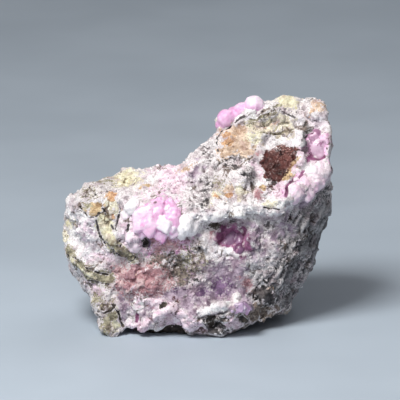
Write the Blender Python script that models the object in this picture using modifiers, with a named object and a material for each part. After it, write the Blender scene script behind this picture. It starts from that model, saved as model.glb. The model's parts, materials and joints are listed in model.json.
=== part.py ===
"""A hand-sized specimen of pink cobaltoan calcite on its breccia matrix, standing as it was found.

Metres, +Z up. The origin is under the middle of the specimen, on the surface it stands on.
X runs to the right of the specimen's face, and Y away from whoever looks at that face.
"""

import math
import random
from typing import NamedTuple

import bmesh
import bpy
from mathutils import Matrix, Vector, noise
from mathutils.bvhtree import BVHTree

MM = 0.001

# Places on the face are given as they look from a little above, square to the line of sight
SIGHT_TILT = math.radians(15.0)
FRONT_FEET_BACK = -24.0
ALONG_SIGHT = Vector((0.0, math.cos(SIGHT_TILT), -math.sin(SIGHT_TILT)))
SIGHT_START = 200.0

# How finely the fused masses are worked, and how many triangles the matrix keeps before it is cut
WORKING_GRID = 1.0
MATRIX_TRIANGLES = 3900
SOFTENING_ROUNDS = 3
SOFTENING = 0.5

# The side of the block that planes the lowest points off at the height of the table, in metres
TABLE = 0.2

# The broken masses that the block is fused from. Corners are (across, up, back) in millimetres
MASSES = {
    "tower": [
        (7, 71, -1), (12.5, 74, 2), (22, 77.5, 3), (26, 80.5, 6), (34, 80, 6), (41, 78.5, 3), (44, 74.5, -1),
        (43.5, 63.5, -8), (45, 54.5, -12), (34, 48, -19), (21, 41.5, -23), (10, 41.5, -23), (-1, 43, -20),
        (4, 68.5, -3), (-1, 62, -6), (-4, 58.5, -8), (11.5, 69, 20), (34, 72, 22), (42, 65, 16),
        (43, 43.5, 14), (5.5, 53.5, 26), (2.5, 32, 24), (34, 29, 24), (29, 25, -10),
    ],
    "saddle": [
        (-8, 56, -2), (0.5, 61, -5), (6, 60, -10), (9, 41, -23), (2, 34, -22.5), (-16, 33, -23.5),
        (-18, 44, -21), (-14, 52, -8), (4, 45, 0), (-12, 40, 0), (-8, 52, 21), (4, 55, 20),
    ],
    "shoulder": [
        (-42.5, 49, -5), (-39, 51.5, -3), (-33, 51.5, 0), (-27, 54, 2), (-23, 56, 3), (-19, 56.5, 3),
        (-15, 55.5, 1), (-8.5, 56.5, 0), (-3.5, 58, -2), (-41, 44.5, -15), (-32.5, 46.5, -19),
        (-24, 45.5, -19), (-16, 45, -20), (-2.5, 43.5, -19), (-45.7, 40.5, -8), (-45.7, 34, -8),
        (-44.5, 27, -10), (-43, 21.5, -11), (-40.5, 17.5, -12), (-36, 12, -12), (-39, 25, -20),
        (-29, 22, -23), (-12.5, 30.5, -24), (0.5, 32, -21), (-32.5, 14, -20), (-37.5, 40.5, 16),
        (-41.5, 30.5, 12), (-35.5, 19, 12), (-24, 45.5, 24), (-6, 48.5, 26), (-16, 32, 27),
    ],
    "body": [
        (2.5, 36, -20), (21, 36.5, -20.5), (33, 41.5, -16), (29.5, 25, -19), (0.5, 25, -23),
        (-22.5, 25, -23), (-26, 12, -24), (0.5, 10.5, -24), (26, 7, -15), (17, 6.5, -20),
        (46, 48.5, -8), (45, 37, -4), (36.3, 25, -1), (31, 14, -2), (29.5, 9, -4), (34, 34, 24),
        (29, 16, 22), (0.5, 12, 28), (-22.5, 19, 24), (-35.5, 22, 12), (0.5, 45.5, 27),
        (-8.5, 4, -22),
    ],
    "chin": [
        (-25, 16, -24.5), (-24, 2, -23), (-20.5, 1.5, -24.5), (-17.5, 0.8, -25), (-12.5, 2.3, -25.5),
        (-8, 3.5, -24), (-11, 9, -26.5), (-5, 8, -26), (-20, 8, -26), (-14, 18, -24), (-22, 6, -12),
        (-8, 8, -12),
    ],
    "left_foot": [
        (-30.5, -0.8, -24), (-26, -0.8, -24), (-30.5, 3, -12), (-25, 3, -12), (-36, 12, -12),
        (-34, 5.5, -18), (-37.5, 16.5, -16), (-23, 15.5, -24), (-24, 4, -24), (-31, 19, -20),
        (-29, 12, 10),
    ],
    "toe": [
        (1.5, -0.8, -24), (6.5, -0.8, -24), (9, 2.3, -15), (0.5, 3, -12), (-4.5, 6.5, -26),
        (-2.5, 2.5, -25), (18, 13, -24), (15, 2, -23), (2.5, 9, -29), (14, 7.5, -28), (10.5, 12, -28),
        (23, 5.5, -17),
    ],
    "heel": [
        (27, 8, -1), (23, 10.0, 18), (-14, 12.8, 18), (-18, 6.0, 3), (8, 3.6, -6), (29, 15, 6),
        (0, 20, 24), (-24, 16, 10), (4, 10.8, 22),
    ],
}

# The grain of the broken rock: (size of a lump, how far it stands out), in millimetres
LUMPS = [(17.0, 1.6), (8.0, 1.7), (4.2, 1.1)]

# Flat breaks across the rock: (size of a break, steepness of its tilt)
BREAKS = [(12.0, 0.30), (5.5, 0.32)]

# Where in the endless grain this block was broken out, and the seed of the way its breaks lean
GRAIN_PLACE = Vector((-105.0, 18.0, -52.0))
BREAK_SEED = 4
LEAN_SPREAD = 9.7

# How much the breaking takes off the masses all over
SPALL = 0.35

# A vein fades out this many half widths from its middle
VEIN_REACH = 2.0

# Hollows are cut by uneven ellipsoids: the share their skin wanders by, and over what distance
HOLLOW_WANDER = 0.16
HOLLOW_LUMP = 2.6

# The clearance between the matrix and each growth of crystals that sits in it
SEAT_GAP = 0.35

# How much further a growth may stand out of its bed than it reaches into the rock
OUTWARD = 3.0

# How far a growth's edge wanders, against its half width, and how often round the edge
UNEVEN_EDGE = 0.45
EDGE_TURNS = 2.2

# Crystals spread over this share of their bed, smaller towards its edge, turned at random
CRYSTAL_SPREAD = 0.92
MIDDLE_SIZE = 1.15
EDGE_SHRINK = 0.5
SMALLEST_SHARE = 0.62
MOST_SPIN = 2.1
LEAST_TILT = 0.1
MOST_TILT = 0.9
GOLDEN_ANGLE = math.pi * (3.0 - math.sqrt(5.0))

# A rhombohedron is a cube pressed this much along its diagonal
PRESSED = 0.82

# The knobs along the crest are round, apart from lumps this high and this far apart
KNOB_LUMP = 0.35
KNOB_LUMP_SIZE = 1.3


class Vein(NamedTuple):
    """A vein or lip that stands out of the face, or a crease in it: its points are (across, up)."""

    points: list
    half_width: float
    height: float


class Hollow(NamedTuple):
    """A hollow in the face, turned in degrees about the line of sight."""

    place: tuple
    half_width: float
    half_height: float
    depth: float
    turn: float


class Growth(NamedTuple):
    """Crystals in one bed on the face, which goes to a depth and is turned about the line of sight."""

    place: tuple
    half_width: float
    half_height: float
    depth: float
    turn: float
    crystals: int
    largest: float
    seed: int


RELIEF = {
    "yellow_vein": Vein([(-33.5, 41), (-31, 36), (-28.5, 31), (-24.5, 27.5), (-21, 25.5)], 1.9, 1.1),
    "ochre_wedge": Vein([(-38, 45), (-33, 43)], 2.6, 0.9),
    "cream_lump": Vein([(-28.5, 45), (-28, 40)], 2.2, 0.8),
    "knuckle_lumps": Vein([(-26, 36), (-25, 32)], 1.8, 0.8),
    "olive_vein": Vein([(-43, 27), (-39, 23.5), (-34, 20.5), (-29, 18.5)], 1.9, 1.1),
    "foot_column": Vein([(-31, 12), (-29, 6)], 2.4, 0.8),
    "crest_lip": Vein([(17, 73.5), (22, 73), (33, 74), (41, 75)], 1.7, 1.0),
    "crest_groove": Vein([(19, 70), (28, 70.5), (36, 71.5)], 1.3, -0.9),
    "peach_dome": Vein([(10, 64), (14, 62)], 4.5, 1.0),
    "pocket_rim": Vein([(21, 66), (27, 68), (33, 64), (33.5, 56), (28, 50)], 1.8, 0.9),
    "brow_lip": Vein([(-2, 41), (8, 43), (18, 43), (27, 42)], 2.6, 0.9),
    "corner_vein": Vein([(29, 50), (33, 54), (38, 57)], 1.6, -1.0),
    "corner_glob": Vein([(32, 48.5), (32.5, 48)], 2.4, 1.1),
    "under_brow": Vein([(3, 36), (11, 36.5), (20, 36)], 3.2, -1.2),
    "rose_hollow": Vein([(-24, 20), (-17, 22), (-12, 18)], 5.5, -1.3),
    "olive_hollow": Vein([(-8, 27), (-3, 20)], 5.0, -1.2),
    "chin_lip": Vein([(-18, 4), (-14, 7.5), (-10, 9.5), (-5, 7)], 1.7, 1.0),
    "ledge_edge": Vein([(-2, 7), (4, 10.5), (10, 12.5), (17, 14.5)], 1.7, 1.0),
    "ledge_groove": Vein([(-4, 12), (3, 15), (12, 17.5)], 2.2, -0.9),
    "wall_groove_high": Vein([(27, 35), (30, 27), (31, 20)], 2.0, -0.9),
    "wall_groove_low": Vein([(37, 44), (38, 34)], 2.2, -0.8),
}

HOLLOWS = {
    "red_pocket": Hollow((27.0, 57.5), 5.6, 7.0, 3.6, -22.0),
    "corner_pocket": Hollow((38.5, 63.5), 4.6, 5.6, 4.4, 0.0),
    "vug": Hollow((11.0, 33.0), 5.6, 4.4, 5.5, -12.0),
    "dark_hole": Hollow((-17.0, 31.0), 1.9, 2.2, 4.0, 15.0),
    "toe_hole": Hollow((6.0, 3.6), 3.2, 2.0, 3.0, 0.0),
}

GROWTHS = {
    "red_druse": Growth((27.0, 57.2), 6.2, 7.8, 4.6, -22.0, 17, 1.2, 3),
    "corner_pocket_crystals": Growth((38.5, 63.5), 5.2, 6.3, 5.4, 0.0, 12, 1.9, 5),
    "vug_crystals": Growth((11.0, 32.5), 6.2, 5.0, 6.4, -12.0, 13, 1.8, 8),
    "centre_crystals": Growth((-12.0, 39.5), 9.5, 6.8, 2.0, 12.0, 22, 2.5, 13),
    "rose_crust": Growth((-20.0, 18.5), 9.0, 6.0, 2.0, -20.0, 16, 2.3, 21),
    "ledge_crystals": Growth((14.5, 9.5), 4.6, 2.8, 1.8, 8.0, 7, 1.7, 34),
}

# Rounded growths along the crest: (across, up, back, radius)
CREST_KNOBS = [
    (8.2, 73.2, 0.5, 3.0), (13.4, 75.4, 1.6, 2.4), (17.6, 77.0, 1.2, 3.4), (22.3, 76.8, 2.2, 2.7),
    (12.0, 73.6, 6.5, 2.7), (18.5, 75.2, 7.0, 2.5),
]

# Their bed: its middle, its half length, depth and half width, and how it leans with the crest
CREST_MIDDLE = (15.5, 73.0, 3.0)
CREST_RADII = (10.8, 3.4, 6.5)
CREST_LEAN = -0.5

# Looks of the pieces: colour, roughness
FINISHES = {
    "matrix_rock": ((0.62, 0.57, 0.56, 1.0), 0.8),
    "crest_crystals": ((0.80, 0.36, 0.66, 1.0), 0.35),
    "red_druse": ((0.23, 0.07, 0.06, 1.0), 0.4),
    "corner_pocket_crystals": ((0.76, 0.38, 0.62, 1.0), 0.35),
    "vug_crystals": ((0.42, 0.14, 0.36, 1.0), 0.35),
    "centre_crystals": ((0.88, 0.58, 0.78, 1.0), 0.35),
    "rose_crust": ((0.66, 0.38, 0.40, 1.0), 0.5),
    "ledge_crystals": ((0.62, 0.42, 0.66, 1.0), 0.4),
}


def at(across, up, back):
    """The point, in metres, seen at that place on the face, at that depth."""
    height = (up - (back - FRONT_FEET_BACK) * math.sin(SIGHT_TILT)) / math.cos(SIGHT_TILT)
    return Vector((across, back, height)) * MM


def sight_hit(tree, across, up):
    """Where the line of sight through that place on the face meets the surface, and the normal there."""
    start = at(across, up, 0.0) - ALONG_SIGHT * SIGHT_START * MM
    place, normal, _, _ = tree.ray_cast(start, ALONG_SIGHT)
    return place, normal


def clear_scene():
    for thing in list(bpy.data.objects):
        bpy.data.objects.remove(thing)


def collection(name):
    made = bpy.data.collections.new(name)
    bpy.context.scene.collection.children.link(made)
    return made


def add_object(name, shape, home):
    """A new object that holds the bmesh, in that collection."""
    mesh = bpy.data.meshes.new(name)
    shape.to_mesh(mesh)
    shape.free()
    thing = bpy.data.objects.new(name, mesh)
    home.objects.link(thing)
    return thing


def add_cutter(name, shape, home):
    cutter = add_object(name, shape, home)
    cutter.hide_render = True
    cutter.display_type = "WIRE"
    return cutter


def baked(thing):
    """Applies the object's modifiers to its mesh."""
    bpy.context.view_layer.update()
    graph = bpy.context.evaluated_depsgraph_get()
    mesh = bpy.data.meshes.new_from_object(thing.evaluated_get(graph))
    thing.modifiers.clear()
    thing.data = mesh
    return thing


def largest_body(thing):
    """Keeps only the object's largest body of faces that meet at edges."""
    shape = bmesh.new()
    shape.from_mesh(thing.data)
    waiting = set(shape.faces)
    bodies = []
    while waiting:
        front = [waiting.pop()]
        body = list(front)
        while front:
            near = {face for f in front for edge in f.edges for face in edge.link_faces} & waiting
            waiting -= near
            front = list(near)
            body += front
        bodies.append(body)
    bodies.sort(key=len)
    for crumb in bodies[:-1]:
        bmesh.ops.delete(shape, geom=crumb, context="FACES")
    shape.to_mesh(thing.data)
    shape.free()
    return thing


def combined(thing, other, operation):
    """The object after a Boolean with the other one, without the crumbs that come loose."""
    step = thing.modifiers.new(operation.lower(), "BOOLEAN")
    step.operation = operation
    step.object = other
    step.solver = "EXACT"
    return largest_body(baked(thing))


def surface_of(thing):
    """A ray-casting tree of the object's mesh."""
    shape = bmesh.new()
    shape.from_mesh(thing.data)
    tree = BVHTree.FromBMesh(shape)
    shape.free()
    return tree


def reskin(thing):
    """Rebuilds the object as one closed skin with no folds through itself."""
    skin = thing.modifiers.new("skin", "REMESH")
    skin.mode = "VOXEL"
    skin.voxel_size = WORKING_GRID * MM
    return baked(thing)


def fused_masses(home):
    """The masses as hulls of their corners, fused into one skin and softened a little."""
    shape = bmesh.new()
    for corners in MASSES.values():
        points = [shape.verts.new(at(*corner)) for corner in corners]
        hull = bmesh.ops.convex_hull(shape, input=points)
        inner = [v for v in hull["geom_interior"] if isinstance(v, bmesh.types.BMVert)]
        bmesh.ops.delete(shape, geom=inner, context="VERTS")
    block = reskin(add_object("matrix_rock", shape, home))
    soften = block.modifiers.new("soften", "SMOOTH")
    soften.iterations = SOFTENING_ROUNDS
    soften.factor = SOFTENING
    return baked(block)


def broken_rock(place):
    """How far the rock stands out at that place: soft lumps, and flat breaks that meet in steps."""
    spot = place / MM + GRAIN_PLACE
    height = sum(out * noise.noise(spot / size) for size, out in LUMPS) - SPALL
    for size, steepness in BREAKS:
        _, centres = noise.voronoi(spot / size)
        lean = noise.noise_vector(centres[0] * LEAN_SPREAD)
        height += steepness * size * lean.dot(spot / size - centres[0])
    return height


def distance_to_line(spot, points):
    """The distance from the spot to the line through the points."""
    nearest = math.inf
    for start, end in zip(points, points[1:]):
        run = end - start
        share = max(0.0, min(1.0, (spot - start).dot(run) / run.length_squared))
        nearest = min(nearest, (start + run * share - spot).length)
    return nearest


def roughen(block):
    """Breaks the smooth skin up, then raises the veins and lips and sinks the creases of the face."""
    tree = surface_of(block)
    lines = []
    for vein in RELIEF.values():
        hits = [sight_hit(tree, *point)[0] for point in vein.points]
        lines.append(([hit for hit in hits if hit], vein))
    normals = [vertex.normal.copy() for vertex in block.data.vertices]
    for vertex, normal in zip(block.data.vertices, normals):
        height = broken_rock(vertex.co)
        for points, vein in lines:
            away = distance_to_line(vertex.co, points) / (vein.half_width * MM)
            if away < VEIN_REACH:
                height += vein.height * math.exp(-away * away)
        vertex.co += normal * height * MM
    block.data.update()


def thinned(block):
    """Leaves the block as broad flat faces."""
    thin = block.modifiers.new("thin", "DECIMATE")
    thin.ratio = MATRIX_TRIANGLES / (2.0 * len(block.data.polygons))
    return baked(block)


def stand_flat(block, cutters):
    """Planes the lowest points off, so that the block stands on them."""
    below = bmesh.new()
    bmesh.ops.create_cube(below, size=TABLE, matrix=Matrix.Translation((0.0, 0.0, -TABLE / 2.0)))
    combined(block, add_cutter("table", below, cutters), "DIFFERENCE")


def turned_on_face(place, turn):
    """A frame at that place: its Y along the line of sight, turned about it."""
    sight = Matrix.Rotation(-SIGHT_TILT, 4, "X")
    return Matrix.Translation(place) @ sight @ Matrix.Rotation(math.radians(turn), 4, "Y")


def ellipsoid(frame, radii):
    """A faceted ellipsoid about the frame."""
    shape = bmesh.new()
    size = Matrix.Diagonal((*[radius * MM for radius in radii], 1.0))
    bmesh.ops.create_icosphere(shape, subdivisions=2, radius=1.0, matrix=frame @ size)
    return shape


def hollow_out(block, name, hollow, cutters):
    """Cuts the hollow with an uneven ellipsoid."""
    place, _ = sight_hit(surface_of(block), *hollow.place)
    radii = (hollow.half_width, hollow.depth, hollow.half_height)
    shape = ellipsoid(turned_on_face(place, hollow.turn), radii)
    for vertex in shape.verts:
        wander = HOLLOW_WANDER * noise.noise(vertex.co / (HOLLOW_LUMP * MM))
        vertex.co += (vertex.co - place) * wander
    combined(block, add_cutter(name, shape, cutters), "DIFFERENCE")


def egg(frame, radii, swell):
    """A bed's shape: an ellipsoid about the frame with a wandering edge, its outward half (-Y) drawn out."""
    shape = bmesh.new()
    bmesh.ops.create_icosphere(shape, subdivisions=2, radius=1.0)
    for vertex in shape.verts:
        way = vertex.co.copy()
        flat = Vector((way.x, 0.0, way.z))
        wander = flat * radii[0] * UNEVEN_EDGE * noise.noise(flat * EDGE_TURNS + frame.translation / MM)
        reach = Vector([share * (radius + swell) for share, radius in zip(way, radii)])
        if way.y < 0.0:
            reach.y *= OUTWARD
        vertex.co = frame @ ((reach + wander) * MM)
    return shape


def rhombohedron(place, turn, size):
    """A crystal: a cube pressed along its upright diagonal, turned about the place."""
    upright = Vector((1, 1, 1)).rotation_difference(Vector((0, 0, 1))).to_matrix().to_4x4()
    pressed = Matrix.Diagonal((1.0, 1.0, PRESSED, 1.0))
    shape = bmesh.new()
    frame = Matrix.Translation(place) @ turn.to_4x4() @ pressed @ upright
    bmesh.ops.create_cube(shape, size=size * MM, matrix=frame)
    return shape


def face_crystals(tree, growth):
    """The crystals of a growth, spread like the seeds in a flower head, each a shape of its own."""
    draw = random.Random(growth.seed)
    lean = Matrix.Rotation(math.radians(growth.turn), 2)
    shapes = []
    for index in range(growth.crystals):
        out = math.sqrt((index + 0.5) / growth.crystals) * CRYSTAL_SPREAD
        angle = index * GOLDEN_ANGLE + draw.uniform(-0.3, 0.3)
        step = Vector((growth.half_width * math.cos(angle), growth.half_height * math.sin(angle)))
        size = 2.0 * growth.largest * draw.uniform(SMALLEST_SHARE, 1.0) * (MIDDLE_SIZE - EDGE_SHRINK * out)
        axis = Vector((draw.uniform(-1, 1), draw.uniform(-1, 1), draw.uniform(-1, 1))).normalized()
        spin = Matrix.Rotation(draw.uniform(0.0, MOST_SPIN), 3, "Z")
        tilt = Matrix.Rotation(draw.uniform(LEAST_TILT, MOST_TILT), 3, axis)
        place, normal = sight_hit(tree, *(Vector(growth.place) + lean @ step * out))
        if place:
            out_of_rock = normal.to_track_quat("Z", "Y").to_matrix()
            shapes.append(rhombohedron(place, out_of_rock @ spin @ tilt, size))
    return shapes


def crest_knobs():
    """The rounded growths along the crest, each a shape of its own, a little uneven."""
    shapes = []
    for across, up, back, radius in CREST_KNOBS:
        shape = ellipsoid(Matrix.Translation(at(across, up, back)), [radius] * 3)
        for vertex in shape.verts:
            vertex.co += vertex.normal * KNOB_LUMP * MM * noise.noise(vertex.co / (KNOB_LUMP_SIZE * MM))
        shapes.append(shape)
    return shapes


def grow(name, block, frame, radii, crystals, parts, cutters):
    """Makes one growth out of the block's own surface and its crystals, and cuts its seat."""
    growth = bpy.data.objects.new(name, block.data.copy())
    parts.objects.link(growth)
    combined(growth, add_cutter(name + "_ground", egg(frame, radii, SEAT_GAP), cutters), "INTERSECT")
    for index, crystal in enumerate(crystals):
        combined(growth, add_cutter(f"{name}_point_{index}", crystal, cutters), "UNION")
    combined(growth, add_cutter(name + "_bed", egg(frame, radii, 0.0), cutters), "INTERSECT")
    combined(block, add_cutter(name + "_seat", egg(frame, radii, SEAT_GAP), cutters), "DIFFERENCE")
    return growth


def grow_on_face(block, parts, cutters):
    """All the growths on the face, each set in the hollowed surface."""
    tree = surface_of(block)
    for name, growth in GROWTHS.items():
        frame = turned_on_face(sight_hit(tree, *growth.place)[0], growth.turn)
        radii = (growth.half_width, growth.depth, growth.half_height)
        grow(name, block, frame, radii, face_crystals(tree, growth), parts, cutters)


def grow_on_crest(block, parts, cutters):
    """The row of rounded growths that lines the crest, in a bed that faces up."""
    lean = Matrix.Rotation(CREST_LEAN, 4, "Y")
    face_up = Matrix.Rotation(-math.pi / 2.0, 4, "X")
    frame = Matrix.Translation(at(*CREST_MIDDLE)) @ lean @ face_up
    crest = grow("crest_crystals", block, frame, CREST_RADII, crest_knobs(), parts, cutters)
    crest.data.shade_smooth()
    crest.data.set_sharp_from_angle(angle=math.radians(40.0))


def finished(thing):
    """Gives the object its own material."""
    colour, roughness = FINISHES[thing.name]
    finish = bpy.data.materials.new(thing.name)
    finish.use_nodes = True
    shader = finish.node_tree.nodes["Principled BSDF"]
    shader.inputs["Base Color"].default_value = colour
    shader.inputs["Roughness"].default_value = roughness
    shader.inputs["Metallic"].default_value = 0.0
    thing.data.materials.clear()
    thing.data.materials.append(finish)


def centre(things):
    """Puts the origin under the middle of the whole specimen."""
    corners = [vertex.co for thing in things for vertex in thing.data.vertices]
    middle = [(min(c[axis] for c in corners) + max(c[axis] for c in corners)) / 2.0 for axis in (0, 1)]
    for thing in things:
        thing.data.transform(Matrix.Translation((-middle[0], -middle[1], 0.0)))


def main():
    clear_scene()
    noise.seed_set(BREAK_SEED)
    parts = collection("cobaltoan_calcite")
    cutters = collection("cutters")
    block = fused_masses(parts)
    roughen(block)
    thinned(reskin(block))
    stand_flat(block, cutters)
    for name, hollow in HOLLOWS.items():
        hollow_out(block, name, hollow, cutters)
    grow_on_face(block, parts, cutters)
    grow_on_crest(block, parts, cutters)
    centre(parts.objects)
    for thing in parts.objects:
        finished(thing)


main()
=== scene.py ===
"""The looks of a hand specimen: pink cobaltoan calcite grown in and on its breccia matrix.

Metres, +Z up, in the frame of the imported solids. X runs to the right of the specimen's face, and Y away
from whoever looks at it. Places on the face are (across, up) in millimetres, square to a line of sight
that looks down on it by fifteen degrees. Sizes of relief and crystals are in millimetres too.
"""

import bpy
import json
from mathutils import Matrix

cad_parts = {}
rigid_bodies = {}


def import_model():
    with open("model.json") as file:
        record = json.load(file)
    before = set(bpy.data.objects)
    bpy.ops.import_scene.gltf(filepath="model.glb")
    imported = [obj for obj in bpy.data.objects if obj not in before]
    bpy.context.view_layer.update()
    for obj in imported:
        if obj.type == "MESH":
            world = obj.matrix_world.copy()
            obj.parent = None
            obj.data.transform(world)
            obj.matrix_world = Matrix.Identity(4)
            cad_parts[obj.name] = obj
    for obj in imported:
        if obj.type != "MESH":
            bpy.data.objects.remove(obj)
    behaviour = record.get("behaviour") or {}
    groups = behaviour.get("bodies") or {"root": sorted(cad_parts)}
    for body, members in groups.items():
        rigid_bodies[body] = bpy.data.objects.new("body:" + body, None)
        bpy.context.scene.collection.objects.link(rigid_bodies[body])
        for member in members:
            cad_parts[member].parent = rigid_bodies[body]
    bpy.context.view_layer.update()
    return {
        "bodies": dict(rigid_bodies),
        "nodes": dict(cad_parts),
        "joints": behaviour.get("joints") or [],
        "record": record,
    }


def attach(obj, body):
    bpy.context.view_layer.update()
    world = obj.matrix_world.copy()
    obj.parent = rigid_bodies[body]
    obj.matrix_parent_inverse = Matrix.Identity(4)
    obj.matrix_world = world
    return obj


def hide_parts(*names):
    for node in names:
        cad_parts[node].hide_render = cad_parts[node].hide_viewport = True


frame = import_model()

import json
import logging
import math
import random
from dataclasses import dataclass, field
from enum import Enum

import bmesh
import bpy
import numpy as np
from mathutils import Matrix, Vector, noise
from mathutils.bvhtree import BVHTree
from mathutils.kdtree import KDTree

LOG = logging.getLogger("specimen")
MM = 0.001
COLOUR_GROUP = "mineral_colour"
NORMAL_GROUP = "gritty_normal"
NOISE_SEED = 11
GOLDEN_ANGLE = math.pi * (3.0 - math.sqrt(5.0))
TINY = 1e-12

# The inputs of a Mix node for its share and for the colours below and above.
MIX_COLOUR_INPUTS = (0, 6, 7)

# Nothing on the specimen reaches lower, in millimetres.
LOWEST = 0.02

# Keeps the axis that a crystal is tipped about from having no length.
AXIS_RISE = 0.1

# Sets neighbouring broken faces far apart in the noise, so each leans its own way.
LEANS_APART = 9.7


def tone(red: int, green: int, blue: int) -> tuple[float, float, float, float]:
    """A linear colour from the eight-bit values a painter would name.

    Args:
        red: The red share, 0 to 255.
        green: The green share, 0 to 255.
        blue: The blue share, 0 to 255.

    Returns:
        The colour as Blender's shaders take it, with full alpha.
    """
    # The curve that screens use, with its straight toe.
    toe, slope, lift, power = 0.04045, 12.92, 0.055, 2.4
    shares = [value / 255.0 for value in (red, green, blue)]
    linear = [s / slope if s <= toe else ((s + lift) / (1.0 + lift)) ** power for s in shares]
    return (*linear, 1.0)


class Mineral(Enum):
    """What stains, fills or coats the breccia; some of them are also laid on as painted shade and shadow."""

    SLATE = 0
    GREY = 1
    TAN = 2
    WHITE = 3
    BLUSH = 4
    LILAC = 5
    VIOLET = 6
    PINK = 7
    MAGENTA = 8
    ROSE = 9
    PEACH = 10
    CREAM = 11
    YELLOW = 12
    OCHRE = 13
    RUST = 14
    OLIVE = 15
    SOOT_AND_SHADE = 16
    GARNET = 17
    CRACK_AND_SHADOW = 18
    ICE = 19


@dataclass(frozen=True)
class Tint:
    """A mineral's colour where it is clean, where it is dirty, and how glossy it is."""

    pale: tuple[float, float, float, float]
    deep: tuple[float, float, float, float]
    polish: float


GROUND = Tint(tone(247, 242, 243), tone(204, 197, 198), 0.3)
GLASSY = (
    Mineral.WHITE, Mineral.BLUSH, Mineral.LILAC, Mineral.VIOLET, Mineral.PINK, Mineral.MAGENTA, Mineral.ROSE,
    Mineral.ICE,
)

TINTS = {
    Mineral.SLATE: Tint(tone(176, 174, 176), tone(66, 64, 68), 0.25),
    Mineral.GREY: Tint(tone(194, 186, 188), tone(92, 86, 88), 0.25),
    Mineral.TAN: Tint(tone(168, 154, 142), tone(88, 78, 72), 0.2),
    Mineral.WHITE: Tint(tone(254, 253, 252), tone(232, 226, 230), 0.5),
    Mineral.BLUSH: Tint(tone(252, 236, 244), tone(226, 200, 216), 0.5),
    Mineral.LILAC: Tint(tone(194, 176, 192), tone(120, 102, 120), 0.5),
    Mineral.VIOLET: Tint(tone(140, 110, 146), tone(88, 62, 96), 0.6),
    Mineral.PINK: Tint(tone(250, 216, 240), tone(234, 170, 216), 0.6),
    Mineral.MAGENTA: Tint(tone(160, 98, 138), tone(98, 44, 78), 0.7),
    Mineral.ROSE: Tint(tone(198, 152, 156), tone(140, 96, 104), 0.5),
    Mineral.PEACH: Tint(tone(240, 218, 198), tone(190, 162, 138), 0.3),
    Mineral.CREAM: Tint(tone(250, 245, 228), tone(214, 206, 178), 0.35),
    Mineral.YELLOW: Tint(tone(247, 243, 218), tone(208, 200, 164), 0.3),
    Mineral.OCHRE: Tint(tone(226, 200, 160), tone(170, 138, 98), 0.3),
    Mineral.RUST: Tint(tone(230, 192, 152), tone(188, 140, 100), 0.3),
    Mineral.OLIVE: Tint(tone(190, 183, 156), tone(106, 100, 82), 0.3),
    # A dark stain colour, also laid on as painted shade in hollows, holes and under overhangs.
    Mineral.SOOT_AND_SHADE: Tint(tone(104, 98, 98), tone(36, 33, 34), 0.3),
    Mineral.GARNET: Tint(tone(120, 66, 62), tone(50, 20, 20), 0.6),
    # The dark of cracks, also laid on as painted shadow in holes, under the vug's roof and behind the arch.
    Mineral.CRACK_AND_SHADOW: Tint(tone(92, 80, 70), tone(30, 25, 24), 0.2),
    Mineral.ICE: Tint(tone(255, 252, 254), tone(238, 232, 238), 0.6),
}


@dataclass(frozen=True)
class Patch:
    """A stain or a filling on the face, turned in degrees.

    The strength is how fully the mineral covers it, and a firm one has a sharper outline.
    """

    across: float
    up: float
    half_width: float
    half_height: float
    turn: float
    mineral: Mineral
    strength: float = 1.0
    firmness: float = 1.0

    def out(self, places: np.ndarray) -> np.ndarray:
        """How far out places on the face are, with 1 at the outline.

        Args:
            places: Places in millimetres, one a row, across and up first.

        Returns:
            The distances from the middle.
        """
        offset = places[:, :2] - np.array([self.across, self.up])
        turn = math.radians(self.turn)
        along = offset @ np.array([math.cos(turn), math.sin(turn)])
        aside = offset @ np.array([-math.sin(turn), math.cos(turn)])
        return np.hypot(along / self.half_width, aside / self.half_height)


@dataclass(frozen=True)
class Streak:
    """A vein, a lip or a crack along points on the face, and how far it stands out.

    Its own points are (across, up), and a height below 0 sinks it.
    """

    points: tuple[tuple[float, float], ...]
    half_width: float
    height: float
    mineral: Mineral
    strength: float = 1.0


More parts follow.
